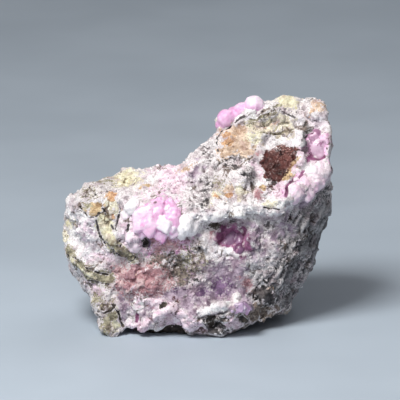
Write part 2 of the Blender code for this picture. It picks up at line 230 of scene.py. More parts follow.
PATCHES = {
    "right_wall_top": Patch(41.5, 44, 5.5, 9, 10, Mineral.SLATE),
    "right_wall": Patch(38.5, 33, 8.5, 15, -20, Mineral.SLATE),
    "right_wall_foot": Patch(29.5, 18, 6.5, 10, -28, Mineral.SLATE),
    "wall_lilac": Patch(28.5, 36, 3.2, 9, -24, Mineral.LILAC, 0.62),
    "wall_pale_foot": Patch(33, 20, 2.6, 8, -24, Mineral.GREY, 0.62),
    "wall_black_high": Patch(34.5, 32, 1.6, 4.5, -28, Mineral.SOOT_AND_SHADE, 0.72),
    "wall_black_low": Patch(30, 24.5, 1.6, 5.5, -30, Mineral.SOOT_AND_SHADE, 0.72),
    "wall_foot_black": Patch(28, 13, 3.6, 4.6, -28, Mineral.SOOT_AND_SHADE, 0.5),
    # Lilac with painted shade under the overhanging brow.
    "under_brow": Patch(17.5, 37.8, 14, 2.6, 3, Mineral.LILAC, 0.56),
    "under_brow_lilac": Patch(20, 33, 7, 4.5, -14, Mineral.LILAC, 0.6),
    "right_of_vug": Patch(22.5, 35.5, 5, 4.5, 0, Mineral.GREY, 0.55),
    "heel_tan": Patch(20.5, 8.5, 10, 5.5, 14, Mineral.TAN, 0.8),
    "heel_grey": Patch(25, 15, 6, 6, 20, Mineral.SLATE, 0.8),
    "saddle_specks": Patch(3, 47, 7, 11, -20, Mineral.GREY, 0.6),
    "saddle_dark": Patch(2.5, 47, 8, 11, -20, Mineral.SOOT_AND_SHADE, 0.37),
    "brow_dark": Patch(13, 47, 9, 5, 0, Mineral.SOOT_AND_SHADE, 0.35),
    "slope_under_crest": Patch(4, 60, 4, 7, -30, Mineral.SOOT_AND_SHADE, 0.37),
    "saddle_yellow": Patch(6, 46.4, 3, 6, -15, Mineral.YELLOW, 0.56),
    "left_face": Patch(-36, 33, 7, 10, 0, Mineral.WHITE),
    "left_face_lilac": Patch(-36.5, 31, 2.6, 5, 14, Mineral.LILAC, 0.54),
    "left_face_blush": Patch(-36.5, 37, 4.6, 6.5, 0, Mineral.BLUSH, 0.5),
    "left_top_olive": Patch(-36, 47.6, 6, 3, 20, Mineral.OLIVE, 0.5),
    "left_top_dark": Patch(-36, 46.6, 7, 4, 20, Mineral.SOOT_AND_SHADE, 0.33),
    "left_face_low": Patch(-31, 26.5, 5, 3, -30, Mineral.BLUSH, 0.7),
    "left_foot_tan": Patch(-32.6, 12, 2.6, 4.2, 30, Mineral.OLIVE, 0.62),
    "left_foot_brown": Patch(-33.2, 12.6, 2.4, 3.2, 30, Mineral.TAN, 0.5),
    "left_foot_blush": Patch(-34.6, 16.6, 3.8, 2.4, -44, Mineral.BLUSH, 0.7),
    "olive_hollow": Patch(-4, 22.5, 8.5, 8.5, 0, Mineral.TAN, 0.8),
    "olive_hollow_deep": Patch(-3, 24.5, 4.5, 5.5, 20, Mineral.OLIVE, 0.66),
    # Painted shade in the olive hollow, in the dark stain colour.
    "olive_hollow_shade": Patch(-2, 18, 6, 4.6, -20, Mineral.SOOT_AND_SHADE, 0.53),
    "olive_hollow_high_shade": Patch(-6, 25, 5, 4, 0, Mineral.SOOT_AND_SHADE, 0.5),
    "rose_slope": Patch(-19, 19, 11, 7, -12, Mineral.ROSE, 0.8),
    "rose_slope_pale": Patch(-22, 22, 4, 2.6, 20, Mineral.PEACH, 0.56),
    "rose_slope_blush": Patch(-15, 16, 5, 2.4, -20, Mineral.BLUSH, 0.54),
    "rose_under_centre": Patch(-9.5, 31, 7.5, 2.8, 8, Mineral.PINK, 0.9),
    "rose_under_specks": Patch(-10, 30.4, 7, 2.6, 8, Mineral.ROSE, 0.68),
    "rose_under_deep": Patch(-10.5, 31.4, 6, 1.6, 8, Mineral.MAGENTA, 0.5),
    "rose_under_lights": Patch(-11, 31.2, 5, 1.6, 14, Mineral.BLUSH, 0.55),
    "rose_left_top": Patch(-15.5, 33.5, 2.2, 3.2, 0, Mineral.ROSE, 0.9),
    "rose_bridge": Patch(-13, 25, 5, 5, 0, Mineral.TAN, 0.8),
    "rose_bridge_specks": Patch(-14, 24, 4.5, 4, 0, Mineral.ROSE, 0.56),
    "lilac_slope": Patch(8, 20.5, 10, 5.4, 10, Mineral.LILAC, 0.8),
    "lilac_low": Patch(7.5, 14, 8, 2.4, 14, Mineral.LILAC, 0.95),
    "lilac_left": Patch(-6, 13, 8, 4.2, 12, Mineral.LILAC),
    "lilac_left_specks": Patch(-4, 13.4, 7, 3.4, 12, Mineral.GREY, 0.52),
    "lilac_low_left": Patch(-22, 10, 4.5, 4, 0, Mineral.LILAC, 0.6),
    "violet_spot": Patch(7.6, 16.6, 3.2, 2.6, 20, Mineral.VIOLET),
    "violet_small": Patch(1.2, 14.6, 2.2, 1, 12, Mineral.VIOLET, 0.9),
    "violet_left": Patch(-7.5, 16.2, 1.8, 2, 0, Mineral.VIOLET, 0.62),
    "rose_spot_right": Patch(15.5, 18.2, 2.4, 1.8, -20, Mineral.ROSE, 0.85),
    "pale_right_slope": Patch(20.5, 24.5, 6.5, 6, -10, Mineral.GREY, 0.62),
    "pale_right_lights": Patch(20, 25, 4, 3, -10, Mineral.ICE, 0.5),
    "slope_lilac_right": Patch(17, 28, 6, 4, 0, Mineral.LILAC, 0.66),
    "ledge": Patch(8, 9.8, 9.5, 1.6, 16, Mineral.WHITE, 0.9),
    "ledge_right": Patch(15, 11.8, 5, 3, 4, Mineral.LILAC, 0.9),
    # Painted shade under the overhanging ledge.
    "under_ledge_shade": Patch(9, 6.6, 6, 1.4, 14, Mineral.SOOT_AND_SHADE, 0.6),
    # Painted shade in the dark hollow and hole at the toe.
    "toe_black_shade": Patch(5.5, 4.2, 3.6, 2.8, 0, Mineral.SOOT_AND_SHADE),
    "toe_hole": Patch(4.2, 4.6, 1.5, 1.3, 0, Mineral.CRACK_AND_SHADOW),
    "toe_right": Patch(11.5, 4.6, 3, 2, 10, Mineral.BLUSH, 0.8),
    # Painted shade in small black holes right of the toe.
    "black_holes_shade": Patch(15, 5.9, 1.3, 1.1, 0, Mineral.CRACK_AND_SHADOW),
    "toe_left": Patch(-7.5, 7, 7.5, 3.2, -25, Mineral.BLUSH, 0.95),
    "toe_left_lilac": Patch(-3.4, 10.2, 5, 2, -20, Mineral.LILAC),
    "saddle_top_pink": Patch(-9, 52, 7, 5.4, 0, Mineral.BLUSH, 0.85),
    "saddle_top_white": Patch(-8, 48, 5, 3.2, 0, Mineral.WHITE, 0.6),
    "saddle_left_dark": Patch(-9, 49.6, 8, 5.4, 0, Mineral.SOOT_AND_SHADE, 0.34),
    "saddle_lilac": Patch(-0.8, 54.5, 3.4, 2.7, 40, Mineral.LILAC, 0.75),
    "saddle_cream_edge": Patch(-4.5, 55.5, 4, 1.2, 30, Mineral.PEACH, 0.6),
    "left_of_centre": Patch(-21, 41.5, 4.5, 4.6, 0, Mineral.BLUSH, 0.8),
    "centre_pink": Patch(-12, 40, 6, 6.4, 0, Mineral.PINK, 0.95),
    "centre_low_pink": Patch(-13, 35, 4, 3, 0, Mineral.PINK, 0.8),
    "centre_glob": Patch(-4, 37.6, 3.2, 2.9, 30, Mineral.ICE),
    "left_of_hole": Patch(-21, 31.5, 3.2, 3, 0, Mineral.BLUSH, 0.95),
    "dark_hole_rim": Patch(-16.6, 31.4, 2.2, 2.6, 15, Mineral.VIOLET, 0.7),
    # Painted shade in a dark hole below the centre crystals.
    "dark_hole": Patch(-17.4, 31.4, 0.9, 1.6, 15, Mineral.CRACK_AND_SHADOW),
    "brow_white": Patch(18.5, 43.2, 12, 2.8, -4, Mineral.WHITE),
    "brow_left": Patch(5, 40.5, 6, 2.4, 10, Mineral.WHITE, 0.85),
    "brow_lilac": Patch(0.6, 33.8, 1.2, 0.9, 0, Mineral.LILAC, 0.8),
    "pocket_white_low": Patch(22, 48.5, 6, 4, 30, Mineral.WHITE, 0.9),
    "pocket_band": Patch(26.5, 66.4, 7.5, 1.8, -8, Mineral.WHITE),
    "pocket_band_right": Patch(33.6, 66.5, 1.7, 6, -14, Mineral.ICE),
    "pocket_left": Patch(20, 56, 2, 8, 0, Mineral.BLUSH, 0.62),
    "pocket_right": Patch(34, 58, 1.8, 6, 16, Mineral.BLUSH, 0.95),
    "pocket_below": Patch(28, 50, 5, 3.4, 30, Mineral.BLUSH, 0.9),
    "peach_layer": Patch(21, 69.8, 11.5, 3.4, -4, Mineral.CREAM, 0.95),
    "peach_cream": Patch(24, 70, 8, 2.2, 0, Mineral.PEACH, 0.62),
    "layer_olive": Patch(21, 70.5, 9, 1.6, 4, Mineral.OLIVE, 0.48),
    "collar_white": Patch(16, 72.6, 9, 2.2, 24, Mineral.WHITE, 0.9),
    "olive_under_knob": Patch(17, 70.4, 3.6, 1.4, 20, Mineral.OLIVE, 0.62),
    "olive_right": Patch(30.5, 67.8, 2.4, 1.1, 10, Mineral.OLIVE, 0.62),
    "peach_dome": Patch(13, 63.8, 6.6, 6, -20, Mineral.PEACH, 1.0, 1.6),
    "peach_dome_tan": Patch(13, 59.8, 5, 3.4, -10, Mineral.TAN, 0.66),
    "peach_dome_right": Patch(19, 65.5, 2.5, 2, 0, Mineral.CREAM, 0.7),
    "dome_specks": Patch(12, 63, 6, 5.4, 0, Mineral.TAN, 0.55),
    "dome_low": Patch(12, 59.6, 5, 2, -8, Mineral.GREY, 0.62),
    "rust_spot": Patch(9, 65, 3.6, 1.8, 38, Mineral.RUST, 0.74),
    "dome_rose": Patch(9.2, 65.2, 2.6, 1.1, 38, Mineral.ROSE, 0.5),
    "dome_green": Patch(17.6, 66.4, 2.6, 2.2, 0, Mineral.YELLOW, 0.75),
    "dome_shadow": Patch(12.2, 57.2, 5.2, 2.1, -8, Mineral.SOOT_AND_SHADE, 0.68),
    "dome_left": Patch(3.6, 61, 2.8, 4.2, -20, Mineral.GREY, 0.66),
    "dome_left_dark": Patch(4.8, 60.4, 2.6, 2.8, -20, Mineral.SOOT_AND_SHADE, 0.46),
    "cap_yellow": Patch(29.8, 78.2, 4.4, 2.6, -6, Mineral.YELLOW),
    "cap_olive": Patch(26, 76.4, 2.6, 2, 0, Mineral.OLIVE, 0.6),
    "cap_grey": Patch(27.5, 74.2, 7.5, 1.6, -10, Mineral.GREY, 0.62),
    "cap_grey_right": Patch(34.5, 75.6, 3.2, 1.2, 0, Mineral.GREY, 0.6),
    "cap_orange": Patch(38, 74.3, 3.4, 1.4, 14, Mineral.RUST, 0.64),
    "cap_peach": Patch(40.5, 76.5, 2.6, 1.8, 0, Mineral.PEACH, 0.8),
    "corner_white": Patch(40.5, 71, 3.6, 2.6, 0, Mineral.ICE),
    # Painted shade on the left wall of the corner pocket, in slate.
    "corner_wall_shade": Patch(36, 66, 1.9, 5.4, -23, Mineral.SLATE, 0.95, 1.6),
    "corner_pink": Patch(40.4, 63, 3.6, 5.2, -12, Mineral.PINK, 1.0, 1.6),
    "corner_magenta": Patch(37.4, 61, 0.8, 3, -14, Mineral.MAGENTA, 0.8),
    "corner_floor": Patch(39, 59.4, 3.8, 0.6, 8, Mineral.MAGENTA, 0.9),
    "corner_below": Patch(39.5, 53.6, 6, 4, 20, Mineral.BLUSH),
    "corner_below_white": Patch(36, 55.5, 2.5, 2, 0, Mineral.WHITE, 0.8),
    "corner_vein": Patch(33.6, 53, 2.4, 1.5, 42, Mineral.PINK, 0.9),
    "corner_vein_low": Patch(29, 48.5, 1, 3, -20, Mineral.PINK, 0.85),
    "corner_glob": Patch(32, 48.8, 2.2, 2, 0, Mineral.WHITE),
    "wall_shadow_pink": Patch(34, 45.5, 2.8, 4, -20, Mineral.LILAC, 0.8),
    "pit_specks": Patch(16.4, 53, 2.2, 2.2, 0, Mineral.SOOT_AND_SHADE, 0.72),
    "pit_rim": Patch(14.6, 55.3, 1.3, 0.8, 30, Mineral.ICE, 0.8),
    "rose_by_pocket": Patch(19.6, 60.6, 1.6, 2.2, 0, Mineral.ROSE, 0.66),
    "rose_below_pocket": Patch(19.9, 47.4, 1.8, 1.8, 0, Mineral.ROSE, 0.8),
    "gold_spot": Patch(21.4, 49.4, 1, 0.9, 0, Mineral.OCHRE),
    "ochre_band": Patch(8.8, 46.4, 3.4, 1.2, 10, Mineral.RUST, 0.7),
    "salmon_band": Patch(10, 48.4, 3.4, 1.5, 5, Mineral.PEACH, 0.8),
    "yellow_band": Patch(14.6, 47.8, 2.2, 2, 20, Mineral.CREAM, 0.9),
    "tan_above_band": Patch(6.5, 50.5, 4.4, 3.4, 0, Mineral.OLIVE, 0.6),
    "yellow_crystals": Patch(23.6, 44.4, 2.7, 1.7, 20, Mineral.CREAM),
    "left_top_brown": Patch(-40.5, 49.4, 3, 2, 30, Mineral.TAN, 0.85),
    "left_top_peach": Patch(-38.5, 50.4, 3, 1.4, 20, Mineral.PEACH, 0.62),
    "top_yellow": Patch(-23.5, 52.6, 5.4, 3.4, 14, Mineral.YELLOW, 0.9),
    "top_olive": Patch(-31.5, 51, 5, 1.6, 8, Mineral.OLIVE, 0.7),
    "top_grey": Patch(-29.5, 48.6, 5, 1.3, 0, Mineral.GREY, 0.62),
    "top_white": Patch(-15.5, 51.5, 2.6, 2.6, 0, Mineral.WHITE, 0.7),
    "top_right_tan": Patch(-18.5, 49, 3.4, 1.2, 10, Mineral.OCHRE, 0.62),
    "ochre_wedge": Patch(-34.6, 43, 3.8, 2.5, -32, Mineral.OCHRE, 0.85, 1.3),
    "ochre_wedge_olive": Patch(-36.8, 43.8, 1.8, 1.6, 0, Mineral.OLIVE, 0.7),
    "orange_lump": Patch(-28.8, 47, 3, 1.5, 0, Mineral.RUST, 0.7),
    "cream_block": Patch(-28, 42.6, 2.6, 3.2, 0, Mineral.CREAM),
    "cream_block_light": Patch(-28.2, 42.8, 2, 2.4, 0, Mineral.WHITE, 0.62),
    "orange_spot": Patch(-28.2, 39.7, 1.2, 0.7, 0, Mineral.RUST, 0.9),
    "knuckles": Patch(-24.6, 35.4, 3.2, 4.4, 0, Mineral.BLUSH, 0.62),
    "left_band": Patch(-42.6, 42, 2, 5.6, 8, Mineral.WHITE, 0.85),
    "left_yellow": Patch(-43, 38, 1.6, 2.6, 0, Mineral.YELLOW, 0.7),
    "left_low_cream": Patch(-43.5, 33, 1.4, 3, 0, Mineral.CREAM, 0.7),
    "foot_column": Patch(-29.6, 5.6, 3, 6, -18, Mineral.OLIVE, 0.8),
    "foot_tan": Patch(-31, 9, 3, 3, 20, Mineral.TAN, 0.52),
    "foot_green": Patch(-27.4, 3.6, 1.6, 2.2, 0, Mineral.YELLOW, 0.95),
    "foot_lilac": Patch(-25.4, 8.4, 2, 6, 0, Mineral.LILAC, 0.85),
    "bubble_pale": Patch(-19, 10, 4.4, 3.4, 0, Mineral.BLUSH, 0.7),
    "bubble_tan": Patch(-16, 9, 4.4, 2.8, 20, Mineral.LILAC, 0.62),
    "chin_pink": Patch(-19.5, 4, 3, 1.6, 0, Mineral.BLUSH),
    "chin_lip": Patch(-13, 11.8, 3.6, 1.3, -8, Mineral.TAN, 0.52),
    "red_spot_left": Patch(-22.6, 15, 2.2, 1.4, -10, Mineral.GARNET, 0.62),
    "red_spot_right": Patch(-7, 12, 2.4, 1.1, -32, Mineral.GARNET, 0.66),
    "rust_dark": Patch(22.6, 14, 3.6, 3.6, 0, Mineral.SOOT_AND_SHADE),
    "toe_tip": Patch(-2, 4, 4, 2.6, -24, Mineral.BLUSH, 1.0, 1.3),
    "rust_right": Patch(23.6, 16, 1.8, 1.6, 0, Mineral.RUST, 0.56),
    # Painted shadow under the vug's roof, black at its left end.
    "vug_black_shadow": Patch(5.4, 36.4, 2.5, 1.1, -12, Mineral.CRACK_AND_SHADOW),
    "vug_orange_rim": Patch(5.6, 33.8, 1.4, 1.6, 0, Mineral.ROSE, 0.75),
    # Painted shade in grey along the vug's roof.
    "vug_roof_shade": Patch(11, 37, 6.4, 1.5, 2, Mineral.GREY, 0.7),
    "vug_body": Patch(11.4, 32.8, 5, 3.8, -12, Mineral.MAGENTA, 1.0, 1.6),
    "vug_low": Patch(13.5, 29.4, 3.6, 2.6, -30, Mineral.MAGENTA, 0.62),
    "vug_sparkle": Patch(8, 27.8, 3.4, 2, 0, Mineral.ICE, 0.95),
    "red_pocket": Patch(27, 57.2, 5.4, 7.2, -22, Mineral.GARNET, 1.0, 2.4),
    # Painted shade at the foot of the red pocket, in the dark stain colour.
    "pocket_foot_shade": Patch(24.6, 52.6, 2.6, 2.6, -20, Mineral.SOOT_AND_SHADE, 0.7),
    "pocket_gold": Patch(30.9, 55.1, 1.5, 4.6, -36, Mineral.OCHRE, 0.95, 1.6),
}

STREAKS = {
    "yellow_vein": Streak(((-31.2, 39.2), (-30.2, 36), (-29, 31.8), (-26, 29)), 1.9, 0.5, Mineral.YELLOW),
    "vein_olive_edge": Streak(((-30, 31.6), (-28, 29.4), (-25.5, 27)), 0.9, 0.2, Mineral.OLIVE, 0.6),
    "olive_blob": Streak(((-26.5, 28.6), (-23.5, 27), (-21.5, 25.4)), 1.8, 0.4, Mineral.OLIVE, 0.9),
    "olive_vein": Streak(((-42.5, 27), (-39.5, 23.5), (-35, 20), (-29.8, 19)), 1.9, 0.35, Mineral.OLIVE),
    "olive_vein_light": Streak(((-41.5, 25.5), (-38.5, 22), (-34, 19.5)), 0.8, 0.15, Mineral.YELLOW, 0.8),
    "wedge_crack": Streak(
        ((-39, 43), (-36.6, 40), (-34.2, 39.6), (-32.4, 41)), 0.24, -0.4, Mineral.SOOT_AND_SHADE, 0.95
    ),
    "long_crack": Streak(
        ((-34, 47.6), (-31.2, 42), (-28, 36), (-25.6, 31.4)), 0.29, -0.5, Mineral.SOOT_AND_SHADE, 0.95
    ),
    "block_crack": Streak(
        ((-25.8, 45.6), (-25.6, 42), (-26.6, 38.4), (-27.2, 35.6)), 0.27, -0.4, Mineral.SOOT_AND_SHADE, 0.9
    ),
    "vein_crack": Streak(
        ((-33.6, 38.8), (-32.8, 34), (-30.8, 30.2), (-26.8, 27.6), (-25, 26.2)),
        0.24, -0.4, Mineral.SOOT_AND_SHADE, 0.95,
    ),
    "knuckle_crack": Streak(((-27, 35.4), (-23.2, 35.2), (-22.9, 37.2)), 0.28, -0.4, Mineral.SOOT_AND_SHADE, 0.9),
    "knuckle_crack_low": Streak(((-23.2, 35.2), (-23.5, 32.2), (-25.6, 30)), 0.28, -0.4, Mineral.SOOT_AND_SHADE, 0.9),
    "blob_crack": Streak(
        ((-28, 29), (-26.4, 27), (-22.6, 24.6), (-20.6, 26.2)), 0.28, -0.35, Mineral.SOOT_AND_SHADE, 0.9
    ),
    "olive_crack_high": Streak(
        ((-43.6, 28), (-40.4, 26), (-37, 22.8), (-32.4, 21), (-29.8, 20.6)), 0.27, -0.5, Mineral.CRACK_AND_SHADOW
    ),
    "olive_crack_low": Streak(
        ((-43, 27), (-39.6, 20.6), (-35.8, 18.4), (-29.4, 17.4)), 0.27, -0.4, Mineral.CRACK_AND_SHADOW
    ),
    "foot_crack": Streak(
        ((-28.4, 10.8), (-26.2, 7.6), (-24.8, 3.6), (-24.6, 1.6)), 0.27, -0.4, Mineral.CRACK_AND_SHADOW
    ),
    "foot_step": Streak(((-33, 8.4), (-30.8, 8), (-28.6, 8.8), (-27.4, 10.6)), 0.27, -0.4, Mineral.CRACK_AND_SHADOW),
    "layer_crack": Streak(((9.5, 69), (12.6, 71.4), (15.4, 73)), 0.27, -0.4, Mineral.SOOT_AND_SHADE),
    "layer_crack_mid": Streak(
        ((17.2, 72), (19.6, 71.6), (20.8, 73), (25.4, 74.4)), 0.27, -0.4, Mineral.OLIVE
    ),
    "layer_crack_low": Streak(
        ((20.8, 67.6), (25.8, 67.2), (29, 68.2), (32.2, 69.6)), 0.27, -0.5, Mineral.OLIVE
    ),
    "cap_crack": Streak(((21, 74.6), (26.4, 74.7), (29.4, 74.2), (32, 72.8)), 0.27, -0.4, Mineral.SOOT_AND_SHADE, 0.85),
    "layer_lumps": Streak(((19.5, 69.4), (23.5, 70.4), (24.6, 72)), 0.27, -0.3, Mineral.OLIVE, 0.85),
    "layer_lumps_right": Streak(((25.5, 68.6), (27, 70.6), (30, 71)), 0.27, -0.3, Mineral.OLIVE, 0.8),
    "dome_edge": Streak(((8.4, 69.4), (6.2, 66), (6.4, 62), (8.6, 58.6)), 0.24, -0.3, Mineral.SOOT_AND_SHADE, 0.62),
    "dome_edge_right": Streak(((9.6, 58), (14, 57), (18, 59.4), (19.6, 63)), 0.24, -0.3, Mineral.TAN, 0.7),
    "yellow_crystal_edge": Streak(((21.6, 43), (23.6, 42.2), (26.4, 42.4)), 0.27, -0.3, Mineral.CRACK_AND_SHADOW, 0.9),
    "corner_fold": Streak(((37.6, 66.5), (38.6, 62.6), (37, 59.4), (41.4, 59.6)), 0.6, -0.5, Mineral.MAGENTA),
    "corner_fold_high": Streak(((39, 67), (40.4, 64.4), (42.6, 62.4)), 0.45, -0.3, Mineral.MAGENTA, 0.75),
    "vein_fold": Streak(((29, 46.6), (29.4, 50.4), (33, 52.4), (35, 54.4)), 0.5, -0.3, Mineral.MAGENTA, 0.9),
    "vug_right_edge": Streak(((15.4, 35.6), (14.6, 33.2), (13.8, 31.4)), 0.7, -0.3, Mineral.MAGENTA),
    "brow_lip": Streak(((3, 39.4), (9, 40.2), (15, 40.6), (21, 41), (28, 42)), 1.3, 0.8, Mineral.WHITE, 0.9),
    "rose_ridge": Streak(((-22.6, 19.6), (-19, 21.4), (-16.5, 22.6)), 0.5, 0.5, Mineral.BLUSH, 0.52),
    "rose_ridge_low": Streak(((-22.4, 16.2), (-19, 17.2), (-16, 18)), 0.45, 0.4, Mineral.BLUSH, 0.5),
    "chin_ridge": Streak(((-18.6, 2.4), (-16.4, 5), (-13.6, 7.6), (-9.6, 9.6)), 1.1, 0.9, Mineral.BLUSH),
    "chin_ridge_high": Streak(((-19.6, 12.4), (-15.4, 11.6), (-11, 11.2)), 0.9, 0.7, Mineral.BLUSH, 0.9),
    "ledge_lip": Streak(((0.6, 8.4), (4, 9.2), (9, 11), (13, 13)), 1.2, 1.0, Mineral.WHITE),
    "bubble_ring": Streak(
        ((-22, 10.6), (-20.8, 12), (-18.6, 11.6), (-18.2, 9.8), (-20, 8.8), (-22, 10.6)),
        0.4, 0.35, Mineral.WHITE,
    ),
    "black_spot": Streak(((-12.4, 10.2), (-11, 10.6)), 0.6, -0.5, Mineral.CRACK_AND_SHADOW),
    "crimson_spot": Streak(((-20.4, 5.2), (-20.2, 7.4)), 0.55, -0.5, Mineral.MAGENTA),
    # Painted shade in a sunk groove under the ledge lip.
    "ledge_lip_shade": Streak(((0, 6.2), (4, 6.8), (9.6, 8.2), (13, 9.6)), 0.5, -0.5, Mineral.GREY, 0.8),
    "toe_ring": Streak(((2.6, 4.4), (4, 6.2), (6.4, 6.2), (7.4, 4.2)), 0.4, 0.2, Mineral.CRACK_AND_SHADOW),
}

BEDS = (PATCHES["vug_body"], PATCHES["corner_pink"], PATCHES["centre_pink"], PATCHES["corner_below"])
CLEARINGS = BEDS + (PATCHES["red_pocket"],)

# How often each mineral is drawn for the sides that the face hides.
HIDDEN_MIX = {
    Mineral.GREY: 10, Mineral.TAN: 8, Mineral.WHITE: 12, Mineral.BLUSH: 6, Mineral.PEACH: 5,
    Mineral.OLIVE: 5, Mineral.CREAM: 5, Mineral.OCHRE: 1, Mineral.RUST: 1, Mineral.LILAC: 3,
    Mineral.ROSE: 1, Mineral.SLATE: 10, Mineral.SOOT_AND_SHADE: 2, Mineral.PINK: 1,
}


@dataclass(frozen=True)
class Sight:
    """The line of sight that places on the face are given along.

    Where the front feet stand is in millimetres along Y, and how far off a look starts is in metres.
    """

    tilt: float = math.radians(15.0)
    feet_back: float = -23.1
    look_from: float = 0.2

    def along(self) -> Vector:
        """The way the eye looks."""
        return Vector((0.0, math.cos(self.tilt), -math.sin(self.tilt)))

    def point(self, across: float, up: float, back: float = 0.0) -> Vector:
        """The point seen at a place on the face.

        Args:
            across: Millimetres to the right.
            up: Millimetres up, square to the line of sight.
            back: Its depth along Y, in millimetres.

        Returns:
            The point, in metres.
        """
        height = (up - (back - self.feet_back) * math.sin(self.tilt)) / math.cos(self.tilt)
        return Vector((across, back, height)) * MM

    def hit(self, tree: BVHTree, across: float, up: float) -> tuple[Vector | None, Vector | None]:
        """Where the line of sight through a place on the face meets a surface.

        Args:
            tree: The surface.
            across: Millimetres to the right.
            up: Millimetres up.

        Returns:
            The point and the normal there, or two Nones.
        """
        start = self.point(across, up) - self.along() * self.look_from
        place, normal, _, _ = tree.ray_cast(start, self.along())
        return place, normal

    def places(self, points: np.ndarray) -> np.ndarray:
        """The (across, up, depth) of points.

        Args:
            points: Points in metres, one a row.

        Returns:
            Their places in millimetres, one a row.
        """
        across = points[:, 0] / MM
        back = points[:, 1] / MM
        height = points[:, 2] / MM
        up = height * math.cos(self.tilt) + (back - self.feet_back) * math.sin(self.tilt)
        depth = back * math.cos(self.tilt) - height * math.sin(self.tilt)
        return np.stack([across, up, depth], axis=1)


SIGHT = Sight()


def smooth_step(values: np.ndarray, low: float, high: float) -> np.ndarray:
    """A smooth rise from 0 at low to 1 at high."""
    share = np.clip((values - low) / (high - low), 0.0, 1.0)
    return share * share * (3.0 - 2.0 * share)


def noise_at(points: np.ndarray, size: float, shift: float = 0.0) -> np.ndarray:
    """Soft lumps over points.

    Args:
        points: Points in millimetres, one a row.
        size: The size of a lump.
        shift: Picks another part of the endless noise.

    Returns:
        A value from about -1 to 1 for each point.
    """
    spots = points / size + shift
    return np.fromiter((noise.noise(spot) for spot in spots.tolist()), float, len(spots))


def breaks_at(points: np.ndarray, size: float, steepness: float) -> tuple[np.ndarray, np.ndarray]:
    """Flat broken faces that meet in steps.

    Args:
        points: Points in millimetres, one a row.
        size: The size of a face.
        steepness: How much the faces lean.

    Returns:
        The height of the faces over each point and how far it is inside a face, both in millimetres.
    """
    heights = np.empty(len(points))
    inside = np.empty(len(points))
    for index, spot in enumerate((points / size).tolist()):
        gaps, centres = noise.voronoi(spot)
        lean = noise.noise_vector(centres[0] * LEANS_APART)
        heights[index] = lean.dot(Vector(spot) - centres[0])
        inside[index] = gaps[1] - gaps[0]
    return heights * steepness * size, inside * size


def away_from_line(points: np.ndarray, line: list[Vector]) -> np.ndarray:
    """The distance of points to a line through others.

    Args:
        points: Points in metres, one a row.
        line: The line's own points, in metres.

    Returns:
        The distances in millimetres.
    """
    nearest = np.full(len(points), np.inf)
    for start, end in zip(line, line[1:]):
        run = np.array(end - start)
        from_start = points - np.array(start)
        share = np.clip(from_start @ run / max(float(run @ run), TINY), 0.0, 1.0)
        gap = np.linalg.norm(from_start - share[:, None] * run, axis=1)
        nearest = np.minimum(nearest, gap)
    return nearest / MM


def nearest_of(source: np.ndarray, points: np.ndarray) -> list[int]:
    """Which row of the source lies nearest to each point.

    Args:
        source: The points to choose from, one a row.
        points: The points to serve, one a row.

    Returns:
        The number of a row of the source for each point.
    """
    tree = KDTree(len(source))
    for index, place in enumerate(source):
        tree.insert(place, index)
    tree.balance()
    return [tree.find(point)[1] for point in points]


def coordinates(mesh: bpy.types.Mesh) -> np.ndarray:
    """The places of a mesh's vertices.

    Args:
        mesh: The mesh.

    Returns:
        The places, one a row, in metres.
    """
    flat = np.empty(len(mesh.vertices) * 3)
    mesh.vertices.foreach_get("co", flat)
    return flat.reshape(-1, 3)


def normals(mesh: bpy.types.Mesh) -> np.ndarray:
    """The normals of a mesh's vertices.

    Args:
        mesh: The mesh.

    Returns:
        The normals, one a row.
    """
    flat = np.empty(len(mesh.vertices) * 3, np.float32)
    mesh.vertex_normals.foreach_get("vector", flat)
    return flat.reshape(-1, 3).astype(float)


def stand_out(mesh: bpy.types.Mesh, heights: np.ndarray, lowest: float = -math.inf) -> np.ndarray:
    """Moves a mesh's vertices out along their normals.

    Args:
        mesh: The mesh.
        heights: How far each vertex moves, in millimetres.
        lowest: The height that no vertex ends below, in millimetres.

    Returns:
        The vertices' new places, in metres.
    """
    raised = coordinates(mesh) + normals(mesh) * (heights * MM)[:, None]
    raised[:, 2] = np.maximum(raised[:, 2], lowest * MM)
    mesh.vertices.foreach_set("co", raised.ravel())
    mesh.update()
    mesh.shade_smooth()
    return raised


def surface_of(mesh: bpy.types.Mesh) -> BVHTree:
    """A tree of a mesh's faces that rays are cast against.

    Args:
        mesh: The mesh.

    Returns:
        The tree.
    """
    shape = bmesh.new()
    shape.from_mesh(mesh)
    tree = BVHTree.FromBMesh(shape)
    shape.free()
    return tree


def new_object(name: str, mesh: bpy.types.Mesh) -> bpy.types.Object:
    """A new object in the scene.

    Args:
        name: Its name.
        mesh: Its mesh.

    Returns:
        The object.
    """
    thing = bpy.data.objects.new(name, mesh)
    bpy.context.scene.collection.objects.link(thing)
    return thing


def object_of(name: str, shape: bmesh.types.BMesh) -> bpy.types.Object:
    """A new object in the scene from a shape, which is freed.

    Args:
        name: The name of the object and of its mesh.
        shape: Its shape.

    Returns:
        The object.
    """
    mesh = bpy.data.meshes.new(name)
    shape.to_mesh(mesh)
    shape.free()
    return new_object(name, mesh)


def baked(thing: bpy.types.Object) -> bpy.types.Object:
    """Applies an object's modifiers to its mesh.

    Args:
        thing: The object.

    Returns:
        The same object, with the result as its mesh.
    """
    bpy.context.view_layer.update()
    graph = bpy.context.evaluated_depsgraph_get()
    mesh = bpy.data.meshes.new_from_object(thing.evaluated_get(graph))
    thing.modifiers.clear()
    thing.data = mesh
    return thing


def set_values(mesh: bpy.types.Mesh, name: str, values: np.ndarray) -> None:
    """Stores one number at each vertex."""
    layer = mesh.attributes.new(name, "FLOAT", "POINT")
    layer.data.foreach_set("value", values.astype(np.float32))


def get_values(mesh: bpy.types.Mesh, name: str) -> np.ndarray:
    """Reads one number at each vertex.

    Args:
        mesh: The mesh.
        name: The name that the numbers are stored under.

    Returns:
        The numbers, one a vertex.
    """
    values = np.empty(len(mesh.vertices), np.float32)
    mesh.attributes[name].data.foreach_get("value", values)
    return values.astype(float)


